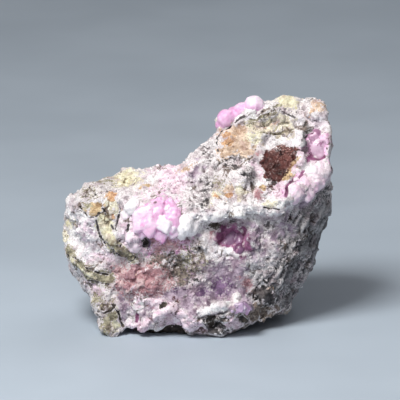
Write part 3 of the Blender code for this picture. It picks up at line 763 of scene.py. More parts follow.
class MineralMap:
    """How fully each mineral covers each vertex of a mesh.

    A mineral that is laid on hides what is under it as its amount rises through the first pair, and shows
    as it rises through the second.
    """

    LAYERS = 5
    PER_LAYER = 4
    HIDES = (0.42, 0.62)
    SHOWS = (0.3, 0.6)

    def __init__(self, amounts: np.ndarray) -> None:
        """Holds the amounts, one row a vertex and one column a mineral."""
        self.amounts = amounts

    @classmethod
    def bare(cls, count: int) -> "MineralMap":
        """A map of that many vertices with no mineral on them."""
        return cls(np.zeros((count, cls.LAYERS * cls.PER_LAYER)))

    @staticmethod
    def layer_name(index: int) -> str:
        """The name of the attribute that holds four minerals."""
        return f"stain_{index}"

    def paint(self, mineral: Mineral, amount: np.ndarray) -> None:
        """Lays a mineral over what is there.

        Args:
            mineral: The mineral.
            amount: How fully it covers each vertex, from 0 to 1, with its outline at a half.
        """
        self.amounts *= (1.0 - smooth_step(amount, *self.HIDES))[:, None]
        column = mineral.value
        self.amounts[:, column] = np.maximum(self.amounts[:, column], amount)

    def of(self, *minerals: Mineral) -> np.ndarray:
        """How fully any of the minerals covers each vertex."""
        columns = [mineral.value for mineral in minerals]
        return smooth_step(self.amounts[:, columns].max(axis=1), *self.SHOWS)

    def polish(self) -> np.ndarray:
        """How glossy the minerals are.

        Returns:
            The gloss of each vertex, from 0 to 1.
        """
        gloss = np.full(len(self.amounts), GROUND.polish)
        for mineral, tint in TINTS.items():
            gloss += (tint.polish - gloss) * self.of(mineral)
        return gloss

    def store(self, mesh: bpy.types.Mesh) -> None:
        """Writes the amounts to colour attributes, four minerals to each.

        Args:
            mesh: The mesh that gets them.
        """
        for index in range(self.LAYERS):
            layer = mesh.attributes.new(self.layer_name(index), "FLOAT_COLOR", "POINT")
            first = index * self.PER_LAYER
            four = self.amounts[:, first:first + self.PER_LAYER]
            layer.data.foreach_set("color", np.ascontiguousarray(four, np.float32).ravel())


class FacePainter:
    """Paints the patches and streaks of the face, and wilder ones on the sides that the face hides.

    Sizes are in millimetres. A pair is where something starts and where it is full, or the least and the
    most of a random draw, except that each pair in WANDERS is a size and a reach.
    """

    WANDERS = ((6.0, 2.6), (2.2, 1.5))
    WANDER_SHIFTS = (3.1, 47.7)
    SMALL_PATCH = 4.0
    DEPTH_REACH = 8.0
    DEPTH_FULL = 0.6
    STREAK_WANDER = 0.3
    STREAK_CORE = 1.15
    STREAK_FADE = 0.5
    SIDE_TURNED = (0.15, 0.55)
    SIDE_ACROSS = (10.0, 24.0)
    SIDE_TOP = (40.0, 52.0)
    SIDE_WANDER = 2.0
    SIDE_LUMPS = 7.0
    SIDE_SHIFT = 61.0
    SIDE_COVER = 0.62
    SIDE_UNEVEN = 0.35
    HIDDEN_TURNED = (-0.15, 0.25)
    HIDDEN_RADIUS = (2.0, 7.5)
    HIDDEN_STRETCH = (0.6, 1.6)
    HIDDEN_WANDER = 0.8
    HIDDEN_COVER = (0.55, 1.0)

    def __init__(self, points: np.ndarray, facing: np.ndarray, tree: BVHTree) -> None:
        """Takes the smooth surface to paint.

        Args:
            points: The vertices, in metres.
            facing: The vertices' normals.
            tree: The surface.
        """
        self.points = points
        self.facing = facing
        self.tree = tree
        self.places = SIGHT.places(points)
        self.map = MineralMap.bare(len(points))
        self.relief = np.zeros(len(points))
        spots = points / MM
        self.wander = sum(
            np.stack([noise_at(spots, size, shift) for shift in self.WANDER_SHIFTS], axis=1) * reach
            for size, reach in self.WANDERS
        )

    def patch(self, patch: Patch) -> None:
        """Paints one patch of the face.

        Args:
            patch: The patch.
        """
        hit, _ = SIGHT.hit(self.tree, patch.across, patch.up)
        if hit is None:
            LOG.warning("a patch at %s, %s misses the rock", patch.across, patch.up)
            return
        depth = SIGHT.places(np.array([hit]))[0, 2]
        size = math.sqrt(patch.half_width * patch.half_height)
        out = patch.out(self.places[:, :2] + self.wander * min(size / self.SMALL_PATCH, 1.0))
        full = (self.DEPTH_REACH + max(patch.half_width, patch.half_height)) * self.DEPTH_FULL
        too_deep = np.maximum(np.abs(self.places[:, 2] - depth) - full, 0.0) / full
        inside = np.clip(0.5 + 0.5 * (1.0 - out) * patch.firmness, 0.0, 1.0)
        self.map.paint(patch.mineral, inside * np.clip(1.0 - too_deep, 0.0, 1.0) * patch.strength)

    def streak(self, streak: Streak) -> None:
        """Paints one streak of the face and raises or sinks it.

        Args:
            streak: The streak.
        """
        hits = [SIGHT.hit(self.tree, *point)[0] for point in streak.points]
        line = [hit for hit in hits if hit is not None]
        if len(line) < 2:
            LOG.warning("a streak at %s, %s misses the rock", *streak.points[0])
            return
        wander = self.STREAK_WANDER * self.wander[:, 1] * streak.half_width
        out = np.maximum(away_from_line(self.points, line) + wander, 0.0) / streak.half_width
        inside = np.clip(self.STREAK_CORE - self.STREAK_FADE * out, 0.0, 1.0)
        self.map.paint(streak.mineral, inside * streak.strength)
        self.relief += streak.height * np.exp(-out * out)

    def right_side(self) -> None:
        """Carries the dark layered stone of the right wall round to the back."""
        spots = self.points / MM
        turned = smooth_step(self.facing[:, 0], *self.SIDE_TURNED)
        right = smooth_step(spots[:, 0], *self.SIDE_ACROSS)
        low = 1.0 - smooth_step(spots[:, 2] + self.wander[:, 0] * self.SIDE_WANDER, *self.SIDE_TOP)
        uneven = self.SIDE_COVER + self.SIDE_UNEVEN * noise_at(spots, self.SIDE_LUMPS, self.SIDE_SHIFT)
        self.map.paint(Mineral.SLATE, turned * right * low * uneven)

    def hidden_sides(self, seed: int, count: int) -> None:
        """Paints what the face hides with the same minerals, in patches placed at random.

        Args:
            seed: Fixes the random draws.
            count: How many patches.
        """
        draw = random.Random(seed)
        hidden = smooth_step(self.facing @ np.array(SIGHT.along()), *self.HIDDEN_TURNED)
        candidates = np.flatnonzero(hidden > 0.5)
        for _ in range(count):
            middle = self.points[candidates[draw.randrange(len(candidates))]]
            mineral = draw.choices(list(HIDDEN_MIX), list(HIDDEN_MIX.values()))[0]
            radius = draw.uniform(*self.HIDDEN_RADIUS)
            stretch = np.array([draw.uniform(*self.HIDDEN_STRETCH) for _ in range(3)])
            away = np.linalg.norm((self.points - middle) / MM / stretch, axis=1)
            away = away + self.wander[:, 0] * self.HIDDEN_WANDER
            amount = np.clip(1.0 - 0.5 * away / radius, 0.0, 1.0) * hidden
            self.map.paint(mineral, amount * draw.uniform(*self.HIDDEN_COVER))


class Laying(Enum):
    """How one colour is laid on another."""

    OVER = "MIX"
    DARKENING = "MULTIPLY"
    LIGHTENING = "SCREEN"


class Wiring:
    """Adds nodes to one tree and links them."""

    def __init__(self, tree: bpy.types.NodeTree) -> None:
        """Takes the tree."""
        self.tree = tree

    def add(self, kind: str, feeds: dict[str | int, object] | None = None,
            **settings: object) -> bpy.types.Node:
        """A new node.

        Args:
            kind: The node's type.
            feeds: Its inputs by name or number, each a socket to link or a value.
            settings: The node's own properties.

        Returns:
            The node.
        """
        node = self.tree.nodes.new(kind)
        for name, value in settings.items():
            setattr(node, name, value)
        for key, feed in (feeds or {}).items():
            if isinstance(feed, bpy.types.NodeSocket):
                self.tree.links.new(feed, node.inputs[key])
            else:
                node.inputs[key].default_value = feed
        return node

    def link(self, feed: bpy.types.NodeSocket, node: bpy.types.Node, name: str) -> None:
        """Links a socket to a node's input of that name."""
        self.tree.links.new(feed, node.inputs[name])

    def math(self, operation: str, first: object, second: object = 0.0) -> bpy.types.NodeSocket:
        """The result of a sum on two values or sockets."""
        return self.add("ShaderNodeMath", {0: first, 1: second}, operation=operation).outputs[0]

    def vector(self, operation: str, feeds: dict[str | int, object]) -> bpy.types.NodeSocket:
        """The result of a sum on vectors."""
        return self.add("ShaderNodeVectorMath", feeds, operation=operation).outputs[0]

    def blend(self, share: object, first: object, second: object,
              laying: Laying = Laying.OVER) -> bpy.types.NodeSocket:
        """One colour laid on another by a share."""
        feeds = dict(zip(MIX_COLOUR_INPUTS, (share, first, second)))
        return self.add("ShaderNodeMix", feeds, data_type="RGBA", blend_type=laying.value).outputs[2]

    def rise(self, value: object, low: float, high: float) -> bpy.types.NodeSocket:
        """A smooth rise from 0 at low to 1 at high."""
        feeds = {"Value": value, "From Min": low, "From Max": high}
        return self.add("ShaderNodeMapRange", feeds, interpolation_type="SMOOTHSTEP").outputs["Result"]

    def place(self) -> bpy.types.NodeSocket:
        """The place on the specimen, in metres."""
        return self.add("ShaderNodeTexCoord").outputs["Object"]

    def value(self, name: str) -> bpy.types.NodeSocket:
        """The number stored at each vertex under that name."""
        return self.add("ShaderNodeAttribute", attribute_name=name).outputs["Fac"]

    def noise(self, place: object, size: float, detail: float = 2.0,
              rough: float = 0.5) -> bpy.types.NodeSocket:
        """Noise with lumps of that size in millimetres."""
        feeds = {"Vector": place, "Scale": 1.0 / (size * MM), "Detail": detail, "Roughness": rough}
        return self.add("ShaderNodeTexNoise", feeds).outputs["Fac"]


def new_group(name: str, inputs: dict[str, float],
              outputs: dict[str, str]) -> tuple[Wiring, bpy.types.Node, bpy.types.Node]:
    """A shader node group with named inputs and outputs.

    Args:
        name: The group's name.
        inputs: Its number inputs and their values.
        outputs: Its outputs and their socket types.

    Returns:
        The wiring of the group, its input node and its output node.
    """
    tree = bpy.data.node_groups.new(name, "ShaderNodeTree")
    for label, value in inputs.items():
        socket = tree.interface.new_socket(label, in_out="INPUT", socket_type="NodeSocketFloat")
        socket.default_value = value
    for label, kind in outputs.items():
        tree.interface.new_socket(label, in_out="OUTPUT", socket_type=kind)
    wiring = Wiring(tree)
    return wiring, wiring.add("NodeGroupInput"), wiring.add("NodeGroupOutput")


@dataclass(frozen=True)
class Veil:
    """A tone laid on all the minerals as a value rises from low to high."""

    low: float
    high: float
    tone: tuple[float, float, float, float]
    laying: Laying = Laying.DARKENING

    def on(self, wiring: Wiring, colour: bpy.types.NodeSocket, value: bpy.types.NodeSocket,
           *factors: object) -> bpy.types.NodeSocket:
        """Lays the veil on a colour.

        Args:
            wiring: The group's wiring.
            colour: The colour.
            value: The value that rises.
            factors: What the veil's share is multiplied by.

        Returns:
            The veiled colour.
        """
        share = wiring.rise(value, self.low, self.high)
        for factor in factors:
            share = wiring.math("MULTIPLY", share, factor)
        return wiring.blend(share, colour, self.tone, self.laying)


@dataclass(frozen=True)
class MineralColour:
    """The node group that turns the minerals at each vertex into speckled colour with ragged edges.

    A noise of three numbers has its lump size in millimetres, its detail and its roughness. A pair is
    where something starts and where it is full.
    """

    grain_sizes: tuple[float, ...] = (0.75, 1.3, 2.3)
    grain_noise: tuple[float, float] = (3.0, 0.62)
    grain_shift: float = 0.3
    cloud_sizes: tuple[float, ...] = (2.6, 4.0)
    cloud_noise: tuple[float, float] = (2.5, 0.55)
    sand_noise: tuple[float, float, float] = (0.36, 2.0, 0.6)
    mottle_noise: tuple[float, float, float] = (3.4, 3.0, 0.55)
    clean: tuple[float, float] = (0.36, 0.62)
    clear: tuple[float, float] = (0.34, 0.6)
    layered: tuple[float, float] = (-0.3, 0.3)
    glassy_edge: tuple[float, float] = (0.28, 0.64)
    stony_edge: tuple[float, float] = (0.42, 0.56)
    flecks: Veil = Veil(0.63, 0.7, tone(112, 104, 106), Laying.OVER)
    sand: Veil = Veil(0.5, 0.66, tone(172, 162, 162))
    sand_share: float = 0.5
    mottle: Veil = Veil(0.46, 0.66, tone(222, 212, 216))
    seams: Veil = Veil(0.3, 0.9, tone(140, 128, 118))
    # Painted shade in the stone's creases and painted highlight on its ridge tops, both read from the cavity
    # value.
    crevice_shade: Veil = Veil(0.06, 0.6, tone(140, 130, 130))
    ridge_highlight: Veil = Veil(-0.1, -0.55, tone(255, 252, 252), Laying.LIGHTENING)
    ridge_highlight_share: float = 0.35

    def grains(self, wiring: Wiring, place: bpy.types.NodeSocket) -> list[bpy.types.NodeSocket]:
        """Noises for the speckles and for the ragged edges, from fine to coarse.

        Args:
            wiring: The group's wiring.
            place: The place on the specimen.

        Returns:
            One noise for each size of grain.
        """
        noises = []
        for size in self.grain_sizes:
            shifted = wiring.vector("ADD", {0: place, 1: (size, size * 2.0, self.grain_shift)})
            noises.append(wiring.noise(shifted, size, *self.grain_noise))
        return noises

    def minerals(self, wiring: Wiring, place: bpy.types.NodeSocket, grains: list[bpy.types.NodeSocket],
                 ragged: bpy.types.NodeSocket, colour: bpy.types.NodeSocket) -> bpy.types.NodeSocket:
        """Lays every mineral on the ground colour, each with its own speckles and edges.

        Args:
            wiring: The group's wiring.
            place: The place on the specimen.
            grains: The noises from fine to coarse.
            ragged: How ragged the edges are.
            colour: The ground colour.

        Returns:
            The colour of the stained stone.
        """
        kinds = len(grains)
        edges = [
            wiring.math("MULTIPLY", wiring.math("SUBTRACT", grain, 0.5), ragged) for grain in grains
        ]
        cleans = [wiring.rise(grain, *self.clean) for grain in grains]
        slate_clean = (Mineral.SLATE.value + 1) % kinds
        layers = wiring.rise(wiring.value("layers"), *self.layered)
        cleans[slate_clean] = wiring.blend(0.5, cleans[slate_clean], layers)
        clears = [
            wiring.rise(wiring.noise(place, size, *self.cloud_noise), *self.clear)
            for size in self.cloud_sizes
        ]
        for index in range(MineralMap.LAYERS):
            layer = wiring.add("ShaderNodeAttribute", attribute_name=MineralMap.layer_name(index))
            parts = wiring.add("ShaderNodeSeparateColor", {0: layer.outputs["Color"]}).outputs
            for step, amount in enumerate((parts[0], parts[1], parts[2], layer.outputs["Alpha"])):
                number = index * MineralMap.PER_LAYER + step
                tint = TINTS[Mineral(number)]
                reached = wiring.math("ADD", amount, edges[number % kinds])
                if Mineral(number) in GLASSY:
                    share = wiring.rise(reached, *self.glassy_edge)
                    body = wiring.blend(clears[number % len(clears)], tint.deep, tint.pale)
                else:
                    share = wiring.rise(reached, *self.stony_edge)
                    body = wiring.blend(cleans[(number + 1) % kinds], tint.deep, tint.pale)
                colour = wiring.blend(share, colour, body)
        return colour

    def build(self) -> bpy.types.NodeTree:
        """Makes the group.

        Returns:
            The group.
        """
        wiring, given, out = new_group(
            COLOUR_GROUP, {"Ragged": 1.0, "Dirt And Shade": 1.0, "Flecks": 1.0}, {"Color": "NodeSocketColor"}
        )
        ragged, dirt_and_shade, flecks = (given.outputs[label] for label in ("Ragged", "Dirt And Shade", "Flecks"))
        place = wiring.place()
        grains = self.grains(wiring, place)
        colour = wiring.blend(wiring.rise(grains[0], *self.clean), GROUND.deep, GROUND.pale)
        colour = self.flecks.on(wiring, colour, grains[0], flecks)
        colour = self.minerals(wiring, place, grains, ragged, colour)
        sand = wiring.noise(place, *self.sand_noise)
        colour = self.sand.on(wiring, colour, sand, self.sand_share, flecks)
        colour = self.mottle.on(wiring, colour, wiring.noise(place, *self.mottle_noise))
        colour = self.seams.on(wiring, colour, wiring.value("seam"), dirt_and_shade)
        # Painted shade in the creases, then painted highlight on the ridge tops.
        colour = self.crevice_shade.on(wiring, colour, wiring.value("cavity"), dirt_and_shade)
        colour = self.ridge_highlight.on(wiring, colour, wiring.value("cavity"), self.ridge_highlight_share)
        wiring.link(colour, out, "Color")
        return wiring.tree


@dataclass(frozen=True)
class GrittyNormal:
    """The node group that breaks the light up on grit and on tiny crystal faces.

    The noise has its lump size in millimetres, its detail and its roughness.
    """

    grit_noise: tuple[float, float, float] = (0.5, 4.0, 0.65)
    grit_height: float = 0.25

    def build(self) -> bpy.types.NodeTree:
        """Makes the group.

        Returns:
            The group.
        """
        wiring, given, out = new_group(
            NORMAL_GROUP, {"Grit": 1.0, "Faces": 0.3, "Face Size": 0.45}, {"Normal": "NodeSocketVector"}
        )
        place = wiring.place()
        fine = wiring.noise(place, *self.grit_noise)
        feeds = {"Strength": given.outputs["Grit"], "Distance": self.grit_height * MM, "Height": fine}
        bump = wiring.add("ShaderNodeBump", feeds).outputs["Normal"]
        scale = wiring.math("DIVIDE", 1.0 / MM, given.outputs["Face Size"])
        cells = wiring.add("ShaderNodeTexVoronoi", {"Vector": place, "Scale": scale}).outputs["Color"]
        centred = wiring.vector("SUBTRACT", {0: cells, 1: (0.5, 0.5, 0.5)})
        lean = wiring.vector("SCALE", {0: centred, "Scale": given.outputs["Faces"]})
        tipped = wiring.vector("ADD", {0: bump, 1: lean})
        wiring.link(wiring.vector("NORMALIZE", {0: tipped}), out, "Normal")
        return wiring.tree


def placed_group(wiring: Wiring, name: str, values: dict[str, float]) -> bpy.types.Node:
    """A group placed in a material, with that material's own values.

    Args:
        wiring: The material's wiring.
        name: The group's name.
        values: The values of its inputs.

    Returns:
        The group's node.
    """
    node = wiring.add("ShaderNodeGroup", node_tree=bpy.data.node_groups[name])
    for label, value in values.items():
        node.inputs[label].default_value = value
    return node


def new_material(name: str) -> tuple[bpy.types.Material, Wiring, bpy.types.Node]:
    """A new material with nothing but its shader.

    Args:
        name: Its name.

    Returns:
        The material, its wiring and its shader.
    """
    material = bpy.data.materials.new(name)
    material.use_nodes = True
    return material, Wiring(material.node_tree), material.node_tree.nodes["Principled BSDF"]


@dataclass(frozen=True)
class StoneFinish:
    """Broken or finely crystallised stone, coloured by its minerals."""

    name: str
    ragged: float = 1.5
    # How strongly the dark seams and the painted shade in the creases show.
    dirt_and_shade: float = 1.0
    flecks: float = 1.0
    grit: float = 0.8
    faces: float = 0.35
    face_size: float = 0.5
    dull: float = 0.85
    glossy: float = 0.35

    def make(self) -> bpy.types.Material:
        """Makes the material.

        Returns:
            The material.
        """
        material, wiring, shader = new_material(self.name)
        colour = placed_group(
            wiring, COLOUR_GROUP, {"Ragged": self.ragged, "Dirt And Shade": self.dirt_and_shade, "Flecks": self.flecks}
        )
        normal = placed_group(
            wiring, NORMAL_GROUP, {"Grit": self.grit, "Faces": self.faces, "Face Size": self.face_size}
        )
        feeds = {"Value": wiring.value("polish"), "To Min": self.dull, "To Max": self.glossy}
        gloss = wiring.add("ShaderNodeMapRange", feeds)
        wiring.link(colour.outputs["Color"], shader, "Base Color")
        wiring.link(normal.outputs["Normal"], shader, "Normal")
        wiring.link(gloss.outputs["Result"], shader, "Roughness")
        return material


@dataclass(frozen=True)
class CrystalFinish:
    """Translucent calcite, clouded between a deep and a pale colour and paler where its tone is high.

    Depths and sizes are in millimetres. A pair is where something starts and where it is full.
    """

    name: str
    deep: tuple[float, float, float, float]
    pale: tuple[float, float, float, float]
    tip: tuple[float, float, float, float]
    roughness: float = 0.35
    transmission: float = 0.0
    subsurface: float = 0.5
    depth: float = 1.2
    grit: float = 0.25
    faces: float = 0.12
    face_size: float = 0.6
    coat: float = 0.2
    coat_roughness: float = 0.15
    ior: float = 1.6
    cloud: float = 1.6
    cloudy: tuple[float, float] = (0.36, 0.64)
    tips: tuple[float, float] = (0.35, 1.0)
    spread: tuple[float, float, float] = (1.0, 0.8, 0.95)

    def make(self) -> bpy.types.Material:
        """Makes the material.

        Returns:
            The material.
        """
        material, wiring, shader = new_material(self.name)
        clouds = wiring.rise(wiring.noise(wiring.place(), self.cloud), *self.cloudy)
        body = wiring.blend(clouds, self.deep, self.pale)
        body = wiring.blend(wiring.rise(wiring.value("tone"), *self.tips), body, self.tip)
        normal = placed_group(
            wiring, NORMAL_GROUP, {"Grit": self.grit, "Faces": self.faces, "Face Size": self.face_size}
        )
        wiring.link(body, shader, "Base Color")
        wiring.link(normal.outputs["Normal"], shader, "Normal")
        plain = {
            "Roughness": self.roughness,
            "IOR": self.ior,
            "Transmission Weight": self.transmission,
            "Subsurface Weight": self.subsurface,
            "Subsurface Radius": self.spread,
            "Subsurface Scale": self.depth * MM,
            "Coat Weight": self.coat,
            "Coat Roughness": self.coat_roughness,
        }
        for label, value in plain.items():
            shader.inputs[label].default_value = value
        return material


@dataclass(frozen=True)
class TableFinish:
    """The plain pale table, with a faint mottle of a size in millimetres."""

    name: str = "table_top"
    colour: tuple[float, float, float, float] = tone(172, 184, 196)
    pale: tuple[float, float, float, float] = tone(178, 190, 202)
    mottle_size: float = 60.0
    mottled: tuple[float, float] = (0.3, 0.7)
    roughness: float = 0.6

    def make(self) -> bpy.types.Material:
        """Makes the material.

        Returns:
            The material.
        """
        material, wiring, shader = new_material(self.name)
        mottle = wiring.rise(wiring.noise(wiring.place(), self.mottle_size), *self.mottled)
        wiring.link(wiring.blend(mottle, self.colour, self.pale), shader, "Base Color")
        shader.inputs["Roughness"].default_value = self.roughness
        return material


@dataclass(frozen=True)
class Knob:
    """A rounded growth: its place on the face, its depth and its radius."""

    across: float
    up: float
    back: float
    radius: float

    def middle(self) -> Vector:
        """Its middle, in metres."""
        return SIGHT.point(self.across, self.up, self.back)

    def add_to(self, shape: bmesh.types.BMesh, divisions: int) -> None:
        """Adds it to a shape as a ball."""
        frame = Matrix.Translation(self.middle())
        bmesh.ops.create_icosphere(shape, subdivisions=divisions, radius=self.radius * MM, matrix=frame)


@dataclass
class MatrixRock:
    """The breccia block, from the solids of the whole specimen, broken up finely and stained.

    Sizes are in millimetres, and the dip in degrees. Each of the lumps is a size and a height, and each of
    the breaks is a size and a steepness. A share that evens something takes that much of its relief away.
    """

    SMOOTH = (Mineral.ROSE, Mineral.LILAC, Mineral.VIOLET, Mineral.PEACH, Mineral.MAGENTA)
    LUMP_SHIFT = 13.0
    BEND_SHIFTS = (21.0, 33.0, 57.0)
    SEAM_SHIFT = 91.0
    LAYER_SHIFT = 17.0
    PIT_SHIFT = 71.0

    collar: tuple[Knob, ...]
    # Lumps behind the arch, painted dark as shadow.
    arch_shadow_wall: tuple[Knob, ...]
    crest_sink: float = 2.4
    grid: float = 0.92
    lumps: tuple[tuple[float, float], ...] = ((4.6, 0.7), (2.1, 0.22), (0.95, 0.16))
    breaks: tuple[tuple[float, float], ...] = ((6.5, 0.34), (3.2, 0.3), (1.6, 0.22))
    bend_size: float = 1.8
    bend: float = 0.5
    smooth_evens: float = 0.45
    slate_evens: float = 0.45
    bed_evens: float = 0.65
    bed_edge: tuple[float, float] = (0.9, 1.5)
    seam_width: float = 0.3
    seam_depth: float = 0.22
    seam_spacing: float = 5.0
    seams_open: tuple[float, float] = (-0.08, 0.32)
    least_seamed: float = 2.0
    pit_size: float = 2.2
    pit_rim: float = 0.34
    pit_depth: float = 2.4
    layer_dip: float = 62.0
    layer_length: float = 6.5
    layer_width: float = 1.1
    layer_depth: float = 3.0
    layer_height: float = 1.1
    arch_shadow_reach: tuple[float, float] = (0.4, 1.4)
    hidden_seed: int = 5
    hidden_patches: int = 150
    cavity_rounds: int = 7
    finish: StoneFinish = StoneFinish("breccia")
    map: MineralMap = field(init=False)
    body: bpy.types.Object = field(init=False)
    tree: BVHTree = field(init=False)

    def skin(self, nodes: dict[str, bpy.types.Object]) -> bpy.types.Object:
        """One fine closed skin over all the solids, with the clearances between them filled.

        Args:
            nodes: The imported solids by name.

        Returns:
            The skin.
        """
        shape = bmesh.new()
        for name, node in nodes.items():
            first = len(shape.verts)
            shape.from_mesh(node.data)
            if name == "crest_crystals":
                bmesh.ops.translate(shape, verts=shape.verts[first:], vec=(0.0, 0.0, -self.crest_sink * MM))
        for lump in self.collar + self.arch_shadow_wall:
            lump.add_to(shape, divisions=3)
        block = object_of("breccia_block", shape)
        skin = block.modifiers.new("skin", "REMESH")
        skin.mode = "VOXEL"
        skin.voxel_size = self.grid * MM
        baked(block)
        fine = block.modifiers.new("fine", "SUBSURF")
        fine.levels = 1
        fine.render_levels = 1
        return baked(block)

    def layers(self, points: np.ndarray) -> np.ndarray:
        """The layers of the right wall, which run along its dip.

        Args:
            points: The vertices, in metres.

        Returns:
            How far each vertex stands out in its layer, from about -1 to 1.
        """
        places = SIGHT.places(points)
        dip = math.radians(self.layer_dip)
        along = places[:, 0] * math.cos(dip) + places[:, 1] * math.sin(dip)
        aside = places[:, 1] * math.cos(dip) - places[:, 0] * math.sin(dip)
        sizes = (self.layer_length, self.layer_width, self.layer_depth)
        return noise_at(np.stack([along, aside, places[:, 2]], axis=1) / sizes, 1.0, self.LAYER_SHIFT)

    def calm(self, points: np.ndarray, smooth: np.ndarray) -> np.ndarray:
        """How much relief the smooth minerals and the beds of the crystals keep.

        Args:
            points: The vertices, in metres.
            smooth: How fully smooth minerals cover each vertex.

        Returns:
            The share that each vertex keeps.
        """
        kept = 1.0 - self.smooth_evens * smooth
        places = SIGHT.places(points)
        for bed in BEDS:
            kept *= 1.0 - self.bed_evens * (1.0 - smooth_step(bed.out(places), *self.bed_edge))
        return kept

    def heights(self, points: np.ndarray, layers: np.ndarray) -> tuple[np.ndarray, np.ndarray]:
        """The relief of the broken stone.

        Args:
            points: The vertices, in metres.
            layers: How far each stands out in its layer of the right wall.

        Returns:
            How far each vertex stands out, in millimetres, and how fully a seam runs through it.
        """
        spots = points / MM
        smooth = self.map.of(*self.SMOOTH)
        slate = self.map.of(Mineral.SLATE)
        total = np.zeros(len(points))
        for index, (size, height) in enumerate(self.lumps):
            total += height * noise_at(spots, size, self.LUMP_SHIFT * index)
        bends = [noise_at(spots, self.bend_size, shift) for shift in self.BEND_SHIFTS]
        bent = spots + np.stack(bends, axis=1) * self.bend
        opened = smooth_step(noise_at(spots, self.seam_spacing, self.SEAM_SHIFT), *self.seams_open)
        seams = np.zeros(len(points))
        for size, steepness in self.breaks:
            rise, inside = breaks_at(bent, size, steepness)
            total += rise * (1.0 - self.slate_evens * slate)
            if size > self.least_seamed:
                seams = np.maximum(seams, np.exp(-((inside / self.seam_width) ** 2)) * opened)
        total += self.layer_height * layers * slate
        pits = np.maximum(noise_at(spots, self.pit_size, self.PIT_SHIFT) - self.pit_rim, 0.0)
        total -= (self.pit_depth * pits + self.seam_depth * seams) * (1.0 - smooth)
        return total * self.calm(points, smooth), seams * (1.0 - smooth)

    def paint_arch_shadow(self, points: np.ndarray) -> None:
        """Paints shadow, in the dark crack colour, on the lumps at the back of the arch that the block stands
        on.

        Args:
            points: The vertices, in metres.
        """
        for lump in self.arch_shadow_wall:
            away = np.linalg.norm(points - np.array(lump.middle()), axis=1) / MM - lump.radius
            self.map.paint(Mineral.CRACK_AND_SHADOW, 1.0 - smooth_step(away, *self.arch_shadow_reach))

    def cavity(self, mesh: bpy.types.Mesh, points: np.ndarray) -> np.ndarray:
        """How deep each vertex lies under the mean of its surroundings, in millimetres.

        Args:
            mesh: The mesh, for its edges.
            points: Its vertices.

        Returns:
            The depths, below 0 on ridges.
        """
        ends = np.empty(len(mesh.edges) * 2, np.int32)
        mesh.edges.foreach_get("vertices", ends)
        ends = ends.reshape(-1, 2)
        mean = points.copy()
        links = np.bincount(ends.ravel(), minlength=len(points)).astype(float)
        for _ in range(self.cavity_rounds):
            total = np.zeros_like(mean)
            np.add.at(total, ends[:, 0], mean[ends[:, 1]])
            np.add.at(total, ends[:, 1], mean[ends[:, 0]])
            mean = 0.5 * mean + 0.5 * total / links[:, None]
        return ((mean - points) * normals(mesh)).sum(axis=1) / MM

    def build(self, nodes: dict[str, bpy.types.Object]) -> bpy.types.Object:
        """Makes the block.

        Args:
            nodes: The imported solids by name.

        Returns:
            The finished block.
        """
        self.body = self.skin(nodes)
        mesh = self.body.data
        points = coordinates(mesh)
        painter = FacePainter(points, normals(mesh), surface_of(mesh))
        painter.hidden_sides(self.hidden_seed, self.hidden_patches)
        painter.right_side()
        for patch in PATCHES.values():
            painter.patch(patch)
        for streak in STREAKS.values():
            painter.streak(streak)
        self.map = painter.map
        self.paint_arch_shadow(points)
        layers = self.layers(points)
        broken, seams = self.heights(points, layers)
        raised = stand_out(mesh, broken + painter.relief, LOWEST)
        self.map.store(mesh)
        set_values(mesh, "seam", seams)
        set_values(mesh, "layers", layers)
        set_values(mesh, "polish", self.map.polish())
        set_values(mesh, "cavity", self.cavity(mesh, raised))
        mesh.materials.clear()
        mesh.materials.append(self.finish.make())
        self.tree = surface_of(mesh)
        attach(self.body, "root")
        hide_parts("matrix_rock")
        return self.body


@dataclass
class RhombSwarm:
    """Many calcite rhombs joined in one mesh."""

    pressed: float = 0.82
    slant: float = 0.26
    frames: list[Matrix] = field(default_factory=list)
    tones: list[float] = field(default_factory=list)

    def add(self, place: Vector, turn: Matrix, size: float, paleness: float, on_point: bool = True) -> None:
        """Adds a crystal.

        Args:
            place: Its middle, in metres.
            turn: How it is turned.
            size: Its edge, in millimetres.
            paleness: How pale it is, from 0 to 1.
            on_point: Whether it stands on a corner rather than on a face.
        """
        if on_point:
            upright = Vector((1, 1, 1)).rotation_difference(Vector((0, 0, 1))).to_matrix()
            form = Matrix.Diagonal((1.0, 1.0, self.pressed)) @ upright
        else:
            form = Matrix(((1.0, self.slant, 0.0), (0.0, 1.0, 0.0), (0.0, 0.0, self.pressed)))
        frame = (turn @ form).to_4x4()
        self.frames.append(Matrix.Translation(place) @ frame @ Matrix.Scale(size * MM, 4))
        self.tones.append(paleness)

    def mesh(self, name: str, pattern: bmesh.types.BMesh) -> bpy.types.Mesh:
        """Joins the crystals.

        Args:
            name: The mesh's name.
            pattern: The shape of one crystal, a unit wide.

        Returns:
            The mesh, with each crystal's tone at its vertices.
        """
        corners = np.array([vertex.co[:] + (1.0,) for vertex in pattern.verts])
        faces = [[vertex.index for vertex in face.verts] for face in pattern.faces]
        matrices = np.array([list(map(list, frame)) for frame in self.frames])
        placed = np.einsum("nij,kj->nki", matrices, corners)[:, :, :3]
        placed[:, :, 2] = np.maximum(placed[:, :, 2], LOWEST * MM)
        count = len(corners)
        every_face = []
        for index in range(len(self.frames)):
            every_face += [[corner + index * count for corner in face] for face in faces]
        mesh = bpy.data.meshes.new(name)
        mesh.from_pydata(placed.reshape(-1, 3).tolist(), [], every_face)
        set_values(mesh, "tone", np.repeat(np.array(self.tones), count))
        return mesh


def plain_cube() -> bmesh.types.BMesh:
    """A cube a unit wide.

    Returns:
        The shape.
    """
    shape = bmesh.new()
    bmesh.ops.create_cube(shape, size=1.0)
    shape.verts.index_update()
    return shape


